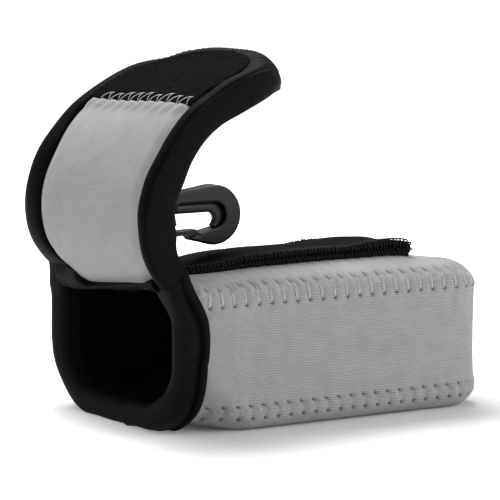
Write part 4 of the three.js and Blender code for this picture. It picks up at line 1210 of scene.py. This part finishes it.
class CASE_OT_mouth(bpy.types.Operator):
    """Make the binding round the mouth and the strip under the flap's hinge"""

    bl_idname = "case.mouth"
    bl_label = "Mouth"

    def execute(self, context):
        path = mouth_path()
        section = mouth_section()
        y, front_z, back_z, back_x, ny, nz = np.hsplit(path, 6)
        front_x = mouth_front(front_z)
        share, behind, out = section.T[:, None]
        travel = run_along(path[:, :2])[:, None]
        far = ease(-10, 30, y)
        level = ease(48, 57, front_z)
        at_back = share == 1
        out = np.where(at_back, out + (1.9 - out) * level * ease(0, 0.4, out), out) + 0 * y
        length = back_x - front_x
        along = np.where(at_back, length + behind, np.where(share == 0.5, length * 0.5, behind))
        along = np.minimum(along, length + 0.4 * (1 - level))
        scoop = far * MOUTH_SCOOP * hump(4, 24, 46, 56, front_z)
        x = front_x + along - scoop * (1 - along / length)
        ripple = 0.28 * slow_noise(travel, along, 17, 13) * (out > 0.5) * (1 - level)
        lap = 0.9 * hump(-8.4, -7.6, -8.4, 14, y)
        bulge = MOUTH_BULGE * far * hump(4, 20, 42, 56, front_z)
        corner = 6.5 * ease(42, 57, front_z) * ease(-2, -7, out)
        reach = out + ripple + (bulge - lap) * ease(-6, -2, out) - corner
        climb = between(front_z, back_z, np.clip(along / length, 0, 1.1))
        front = np.clip(1 - along / (0.7 * length), 0, 1)
        climb = climb + 1.5 * front * hump(-47, -36, -16, -6, y) * (1 - ease(6, 24, front_z))
        uv = joined(travel, np.linspace(0, 42, len(section))[None])
        # Painted shade: the colour is darkened along the stitched crease and over the roll at the back
        crease = (bump(behind + 3.3, 0.5) + 0.5 * ease(-1.0, -3.0, behind)) * at_back
        rings = joined(x, y + reach * ny, climb + reach * nz)
        piece = ring_loft("mouth_ring", rings, uv, np.clip(crease, 0, 0.9))
        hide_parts("mouth_binding")
        finish_piece(piece, "black_stretch_binding", "pouch")
        self.top_strip()
        return {"FINISHED"}

    def top_strip(self):
        """A roll of black cloth, darkened further by painted shade, along Y from the grey hem's end down
        to the opening, turned in over the ceiling. On the far side it is the web that fills the corner
        under the far strip."""
        ceiling = MOUTH_HEIGHT - NEOPRENE - GAP
        half = MOUTH_WIDTH / 2 - NEOPRENE - 2 * GAP - LEAF
        y = np.linspace(-half, half, 90)
        end = hem_end(y)
        front = -0.75 - root_pull(end) * hump(-42, -33, 22, 34, y)
        top = on_flap(end, y, front)
        shoulder = on_flap(end + 0.5, y, front + 0.7)
        tucked = on_flap(end, y, front + 2.2)
        bottom = np.clip(51.0 - 0.105 * y, 48.0, 54.0) + 0.2 * slow_noise(y, 0 * y, 22, 17)
        fall = np.linspace(0, 1, 9)[None, 1:]
        roll_x = top[:, :1] * (1 - fall) - 0.2 * fall - 1.1 * np.sin(math.pi * fall)
        roll_z = top[:, 2:] * (1 - fall) + bottom[:, None] * fall
        under_x = np.broadcast_to([[1.2, 5.0, 9.0, 9.0, 4.2]], (len(y), 5))
        under_z = joined(bottom - 0.2, bottom - 0.2, ceiling - LEAF, ceiling, ceiling)
        x = np.concatenate([tucked[:, :1], shoulder[:, :1], top[:, :1], roll_x, under_x], 1)
        z = np.concatenate([tucked[:, 2:], shoulder[:, 2:], top[:, 2:], roll_z, under_z], 1)
        uv = joined(y[:, None], np.linspace(0, 25, x.shape[1])[None])
        # Painted shade: the whole strip is darkened as if it lay in shade under the hinge
        piece = ring_loft("mouth_top_strip", joined(x, y[:, None], z), uv, 0.65)
        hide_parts("mouth_top_binding")
        finish_piece(piece, "black_stretch_binding", "pouch")


# Belt loop, webbing tab and loop patch

def back_height(x, y):
    """Height of the pouch's top at x and y, from the section there: level with a slight crown,
    then the quarter ellipse of its edge, less what the cloth has sunk."""
    flare, _, _, high, height = pouch_levels(x)
    run = between(MOUTH_TOP_CORNER, TOP_EDGE_SIDE, flare)
    flat = between(MOUTH_WIDTH, POUCH_WIDTH, flare) / 2 - run
    past = np.clip((np.abs(y) - flat) / run, 0, 1)
    crown = POUCH_CROWN * np.clip(1 - (y / flat) ** 2, 0, 1)
    level = height - (height - high) * (1 - np.sqrt(1 - past ** 2)) + crown
    return level - settle(x, y, level)


def slack(x, y):
    """How far the upper leaf of the belt loop stands off the lower one: least where both are sewn
    down, a little in the middle, and most beside the fold."""
    wave = 0.25 * slow_noise(x, y, 34, 43)
    return 0.15 + 0.5 * ease(34, 60, x) + 1.2 * ease(88, 108, x) + np.abs(wave)


def strap_path(y):
    """Middle line of the belt loop's strip at y, as x, z: forward along the back panel, round the
    fold at its far end, and back above itself."""
    end = BELT_END + STRIP_PAST_END - STRIP_FOLD - STRIP / 2
    xs = np.linspace(BELT_START, end, 100)[None]
    lift = LOWER_LIFT - STRIP_SUNK * (1 - ease(20, 44, xs))
    low = back_height(np.minimum(xs, BELT_END), y) + lift + STRIP / 2
    turn = np.radians(np.linspace(-90, 90, 11))[1:-1][None]
    arc_x, arc_z = end + STRIP_FOLD * np.cos(turn), low[:, -1:] + STRIP_FOLD * (1 + np.sin(turn))
    back = xs[:, ::-1]
    pressed = between(STRIP_PRESSED, 1, ease(18, 46, back))
    high = low[:, ::-1] + STRIP * pressed + slack(back, y)
    blend = ease(-9, 0, back - end)
    high = between(high, low[:, ::-1] + 2 * STRIP_FOLD, blend)
    z = np.concatenate([low, arc_z, high], 1)
    return np.broadcast_to(np.concatenate([xs, arc_x, back], 1), z.shape), z


def strap_points(y, off):
    """Points of the strip: the middle line at y, moved by off along the normal of the line at the
    strip's middle."""
    x, z = strap_path(y)
    tangent = unit(np.gradient(joined(*strap_path(0 * y)), axis=1))
    return joined(x + off * tangent[..., 1], y, z - off * tangent[..., 0])


def strip_section(half, thick, across, rounded):
    """Section of a flat strip with round edges: places across it and distances from its middle."""
    r = thick / 2
    y = np.linspace(-half, half, across)
    turn = np.radians(np.linspace(-90, 90, rounded))[1:-1]
    places = np.concatenate([y, half + r * np.cos(turn), y[::-1], -half - r * np.cos(turn)])
    return places, np.concatenate([0 * y - r, r * np.sin(turn), 0 * y + r, -r * np.sin(turn)])


class CASE_OT_belt_loop(bpy.types.Operator):
    """Make the belt loop's folded strip and the overlock stitches along its edges"""

    bl_idname = "case.belt_loop"
    bl_label = "Belt loop"

    def execute(self, context):
        y, off = strip_section(BELT_HALF_WIDTH - 0.5, STRIP, 41, 7)
        rings = strap_points(y[:, None], off[:, None]).transpose(1, 0, 2)
        lengths = run_along(rings[:, 20])
        piece = ring_loft("belt_loop_strip", rings, joined(lengths[:, None], y[None]))
        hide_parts("belt_loop")
        finish_piece(piece, "black_strap_cloth", "pouch")
        self.overlock()
        return {"FINISHED"}

    def overlock(self):
        """Short loops wrapped round both edges of both leaves, slanted a little, evenly spaced."""
        pitch = mm(bpy.context.scene.case_sizes.overlock_pitch)
        edge = np.array([[-1.0], [1.0]]) * (BELT_HALF_WIDTH - 0.2)
        chance = np.random.default_rng(8)
        turn = np.radians(np.linspace(-120, 120, 11))
        out = 2.2 * np.cos(turn)[None] - 1.1
        paths = []
        for side, x, z in zip((-1, 1), *strap_path(edge)):
            run = run_along(joined(x, z))
            at = np.arange(1.5, run[-1] - 1, pitch)
            cx, cz, tx, tz = (np.interp(at, run, values)[:, None] for values in (
                x, z, np.gradient(x, run), np.gradient(z, run)))
            wrap = STRIP / 2 + 0.15 + 0.6 * ease(84, 108, cx) + 0.14 * chance.uniform(-1, 1, cx.shape)
            lean = np.linspace(-0.55, 0.55, 11)[None] + 0.3 * chance.uniform(-1, 1, cx.shape)
            rise = wrap * np.clip(1.35 * np.sin(turn), -1, 1)[None]
            px = cx + lean * tx + rise * tz
            pz = cz + lean * tz - rise * tx - OVERLOCK_DROP * (side > 0)
            paths.append(joined(px, side * (BELT_HALF_WIDTH - 0.7 + out), pz))
        piece = tubes("belt_loop_overlock", np.concatenate(paths), 0.34, sides=5)
        finish_piece(piece, "black_sewing_thread", "pouch")


class CASE_OT_tab(bpy.types.Operator):
    """Make the webbing tab that goes round the snap hook's eye"""

    bl_idname = "case.tab"
    bl_label = "Webbing tab"

    def execute(self, context):
        bar_x, bar_z = EYE_BAR
        base = float(back_height(np.array(TAB_X), np.array(0.0))) + 0.45
        loop = EYE_BAR_RADIUS + 0.35 + WEBBING / 2
        turn = np.radians(np.linspace(-25, 205, 19))
        foot = ((1.75, 0.6), (1.1, 1.3), (0.75, 2.6))
        up = [[TAB_X + aside, base + rise] for aside, rise in foot]
        up += [[TAB_X - 0.3, bar_z - 5.6], [TAB_X - 0.15, bar_z - 3.4]]
        round_bar = [[bar_x + loop * math.cos(a), bar_z + loop * math.sin(a)] for a in turn]
        down = [[TAB_X - 1.85, bar_z - 3.4], [TAB_X - 1.6, bar_z - 5.6]]
        down += [[TAB_X - aside, base + rise] for aside, rise in foot[::-1]]
        line = np.array(up + round_bar + down)
        tangent = unit(np.gradient(line, axis=0))
        y, off = strip_section(TAB_HALF_WIDTH - 0.3, WEBBING, 15, 5)
        x = line[:, :1] + off[None] * tangent[:, 1:]
        z = line[:, 1:] - off[None] * tangent[:, :1]
        run = run_along(line)
        piece = ring_loft("webbing_strip", joined(x, y[None], z), joined(run[:, None], y[None]))
        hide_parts("webbing_tab")
        finish_piece(piece, "black_woven_webbing", "tab")
        return {"FINISHED"}


class CASE_OT_loop_patch(bpy.types.Operator):
    """Make the loop patch let into the front panel"""

    bl_idname = "case.loop_patch"
    bl_label = "Loop patch"

    def execute(self, context):
        x0, x1, half, thick = LOOP_PATCH
        x, y = np.meshgrid(np.linspace(x0, x1, 60), np.linspace(-half, half, 90), indexing="ij")
        edge = np.minimum(np.minimum(x - x0, x1 - x), np.minimum(y + half, half - y))
        low = 0.5 * (1 - np.sqrt(np.clip(edge / 1.2, 0, 1))) + np.abs(0.1 * slow_noise(x, y, 2.2, 51))
        piece = walled("loop_tape", joined(x, y, thick), joined(x, y, low), joined(x, y), (True, True))
        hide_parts("loop_patch")
        finish_piece(piece, "black_loop_tape", "pouch")
        return {"FINISHED"}


class CASE_OT_snap_hook(bpy.types.Operator):
    """Give the snap hook, its eye and its gate their moulded finish, and make the thinner web that
    lines the hook's slot"""

    bl_idname = "case.snap_hook"
    bl_label = "Snap hook"

    def execute(self, context):
        for name in ("hook_eye", "snap_hook", "hook_gate"):
            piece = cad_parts[name]
            piece.data.materials.clear()
            piece.data.materials.append(finish("moulded_acetal"))
        self.web()
        return {"FINISHED"}

    def web(self):
        """A plate along the slot's top and round its end: its outer line lies inside the body, its
        inner line is an ellipse's quarter, and its edges are rounded."""
        centre_x, centre_z, radius = HOOK_SLOT
        outer_radius = radius + 0.5
        along = np.linspace(HOOK_WEB_START, centre_x - 1.9, 12)[:-1]
        level = 0 * along + centre_z
        turn = np.radians(np.linspace(90, -62, 22))
        inner_x = np.concatenate([along, centre_x - 1.9 + 2.6 * np.cos(turn)])[:, None]
        inner_z = np.concatenate([level + 1.05, centre_z - 1.7 + 2.75 * np.sin(turn)])[:, None]
        turn = np.radians(np.linspace(90, -74, 22))
        outer_x = np.concatenate([along, centre_x + outer_radius * np.cos(turn)])[:, None]
        outer_z = np.concatenate([level + outer_radius, centre_z + outer_radius * np.sin(turn)])[:, None]
        share = np.array([[0.08, 0, 0, 0.08, 1, 1]])
        y = HOOK_WEB_HALF * np.array([[-1, -0.75, 0.75, 1, 1, -1]])
        x, z = between(inner_x, outer_x, share), between(inner_z, outer_z, share)
        piece = ring_loft("hook_web", joined(x, y, z), joined(x, z))
        finish_piece(piece, "moulded_acetal", "hook")


# Stage

CAMERA_AZIMUTH = 31.5
CAMERA_ELEVATION = 7.16
CAMERA_DISTANCE = 1050
CAMERA_TARGET = (61.77, 0, 61.96)
LAMP_SIZE = 0.6
FLOOR_REACH = 6.0

# In metres, a box on the floor under the case: the floor keeps its shadow beside it, and is lifted
# to white by the end of the reach. The lift is a painted glow, not lamp light: it lightens the
# case's shadow away from the box and paints it out beyond the reach
SHADOW_BOX_CENTRE = (0.012, 0, 0)
SHADOW_BOX_HALF = (POUCH_LENGTH / 2000 - 0.019, POUCH_WIDTH / 2000 + 0.007, 0)
SHADOW_REACH = {"From Min": 0.004, "From Max": 0.082, "To Min": 0.04, "To Max": 1.0}


def area_lamp(name, place, target_height, power):
    """A square lamp at a place, which faces the middle of the case at a height, in metres."""
    lamp = bpy.data.lights.new(name, "AREA")
    lamp.shape = "SQUARE"
    lamp.size = LAMP_SIZE
    lamp.energy = power
    made = bpy.data.objects.new(name, lamp)
    bpy.context.scene.collection.objects.link(made)
    direction = np.array([0, 0, target_height]) - np.array(place)
    made.location = place
    made.rotation_euler = (
        math.atan2(math.hypot(direction[0], direction[1]), -direction[2]), 0,
        math.atan2(direction[1], direction[0]) - math.pi / 2)


def white_floor():
    """Matt white floor, lifted to white for the eye and for reflections while it keeps shadows."""
    mesh = bpy.data.meshes.new("floor")
    corners = ((-1, -1), (1, -1), (1, 1), (-1, 1))
    mesh.from_pydata([(FLOOR_REACH * x, FLOOR_REACH * y, 0) for x, y in corners], [], [(0, 1, 2, 3)])
    floor = bpy.data.objects.new("floor", mesh)
    bpy.context.scene.collection.objects.link(floor)
    material = bpy.data.materials.new("matt_white_paper")
    tree = empty_tree(material)
    paper = node(tree, "BsdfDiffuse", {"Color": (0.82, 0.82, 0.82, 1)})
    path = node(tree, "LightPath")
    seen = path.outputs["Is Camera Ray"]
    for kind in ("Is Glossy Ray", "Is Transmission Ray"):
        seen = node(tree, "Math", {0: seen, 1: path.outputs[kind]}, operation="MAXIMUM").outputs["Value"]
    beside = node(tree, "TexCoord").outputs["Object"]
    none = (0, 0, 0)
    for operation, value in (("SUBTRACT", SHADOW_BOX_CENTRE), ("ABSOLUTE", none),
                             ("SUBTRACT", SHADOW_BOX_HALF), ("MAXIMUM", none)):
        beside = node(tree, "VectorMath", {0: beside, 1: value}, operation=operation).outputs["Vector"]
    away = node(tree, "VectorMath", {0: beside}, operation="LENGTH").outputs["Value"]
    whiter = node(tree, "MapRange", {"Value": away, **SHADOW_REACH}, interpolation_type="SMOOTHSTEP")
    lift = node(tree, "Math", {0: seen, 1: whiter.outputs["Result"]}, operation="MULTIPLY")
    # Painted glow: it lightens the floor's shadow away from the case
    glow = node(tree, "Emission", {"Strength": lift.outputs["Value"]})
    both = node(tree, "AddShader", {0: paper.outputs["BSDF"], 1: glow.outputs["Emission"]})
    node(tree, "OutputMaterial", {"Surface": both.outputs["Shader"]})
    mesh.materials.append(material)


def white_world():
    """Pale even light all round, pure white where the eye or a ray through glass meets it."""
    world = bpy.data.worlds.new("studio")
    bpy.context.scene.world = world
    tree = empty_tree(world)
    path = node(tree, "LightPath")
    seen = node(tree, "Math", {0: path.outputs["Is Camera Ray"], 1: path.outputs["Is Transmission Ray"]},
                operation="MAXIMUM")
    strength = node(tree, "MapRange", {
        "Value": seen.outputs["Value"], "To Min": bpy.context.scene.case_stage.sky, "To Max": 1.0})
    sky = node(tree, "Background", {"Color": (1, 1, 1, 1), "Strength": strength.outputs["Result"]})
    node(tree, "OutputWorld", {"Surface": sky.outputs["Background"]})


class CASE_OT_stage(bpy.types.Operator):
    """Set the floor, the lamps and the camera"""

    bl_idname = "case.stage"
    bl_label = "Stage"

    def execute(self, context):
        settings = context.scene.case_stage
        white_floor()
        white_world()
        area_lamp("key_lamp", (0.12, 0.42, 0.80), 0.04, settings.key_power)
        area_lamp("fill_lamp", (0.4, -0.8, 0.5), 0.05, settings.fill_power)
        area_lamp("side_lamp", (-0.85, -0.12, 0.55), 0.08, settings.side_power)
        turn, rise = math.radians(CAMERA_AZIMUTH), math.radians(CAMERA_ELEVATION)
        level = np.array([-math.sin(turn), -math.cos(turn), 0]) * math.cos(rise)
        back = level + [0, 0, math.sin(rise)]
        lens = bpy.data.cameras.new("camera")
        lens.lens = settings.lens
        lens.sensor_width = 36
        lens.clip_start = 0.05
        camera = bpy.data.objects.new("camera", lens)
        context.scene.collection.objects.link(camera)
        camera.location = placed(np.array(CAMERA_TARGET) + back * CAMERA_DISTANCE)
        camera.rotation_euler = (math.pi / 2 - rise, 0, -turn)
        context.scene.camera = camera
        context.scene.view_settings.view_transform = "Standard"
        return {"FINISHED"}


class CASE_PT_panel(bpy.types.Panel):
    """Sizes, colours and the makers of the case's pieces"""

    bl_label = "Camera case"
    bl_space_type = "VIEW_3D"
    bl_region_type = "UI"
    bl_category = "Camera case"

    def draw(self, context):
        for group in ("case_sizes", "case_finishes", "case_stage"):
            settings = getattr(context.scene, group)
            for key in settings.__annotations__:
                self.layout.prop(settings, key)
        for operator in OPERATORS:
            self.layout.operator(operator.bl_idname)


OPERATORS = (
    CASE_OT_stage, CASE_OT_pouch, CASE_OT_lining, CASE_OT_mouth, CASE_OT_flap, CASE_OT_belt_loop,
    CASE_OT_tab, CASE_OT_loop_patch, CASE_OT_snap_hook,
)
GROUPS = {"case_sizes": CaseSizes, "case_finishes": CaseFinishes, "case_stage": CaseStage}


def register():
    for name, group in GROUPS.items():
        bpy.utils.register_class(group)
        setattr(bpy.types.Scene, name, bpy.props.PointerProperty(type=group))
    for made in (*OPERATORS, CASE_PT_panel):
        bpy.utils.register_class(made)


def unregister():
    for made in (CASE_PT_panel, *reversed(OPERATORS)):
        bpy.utils.unregister_class(made)
    for name, group in GROUPS.items():
        delattr(bpy.types.Scene, name)
        bpy.utils.unregister_class(group)


def main():
    """Makes every piece in turn."""
    register()
    for operator in OPERATORS:
        group, name = operator.bl_idname.split(".")
        getattr(getattr(bpy.ops, group), name)()


if __name__ == "__main__":
    main()
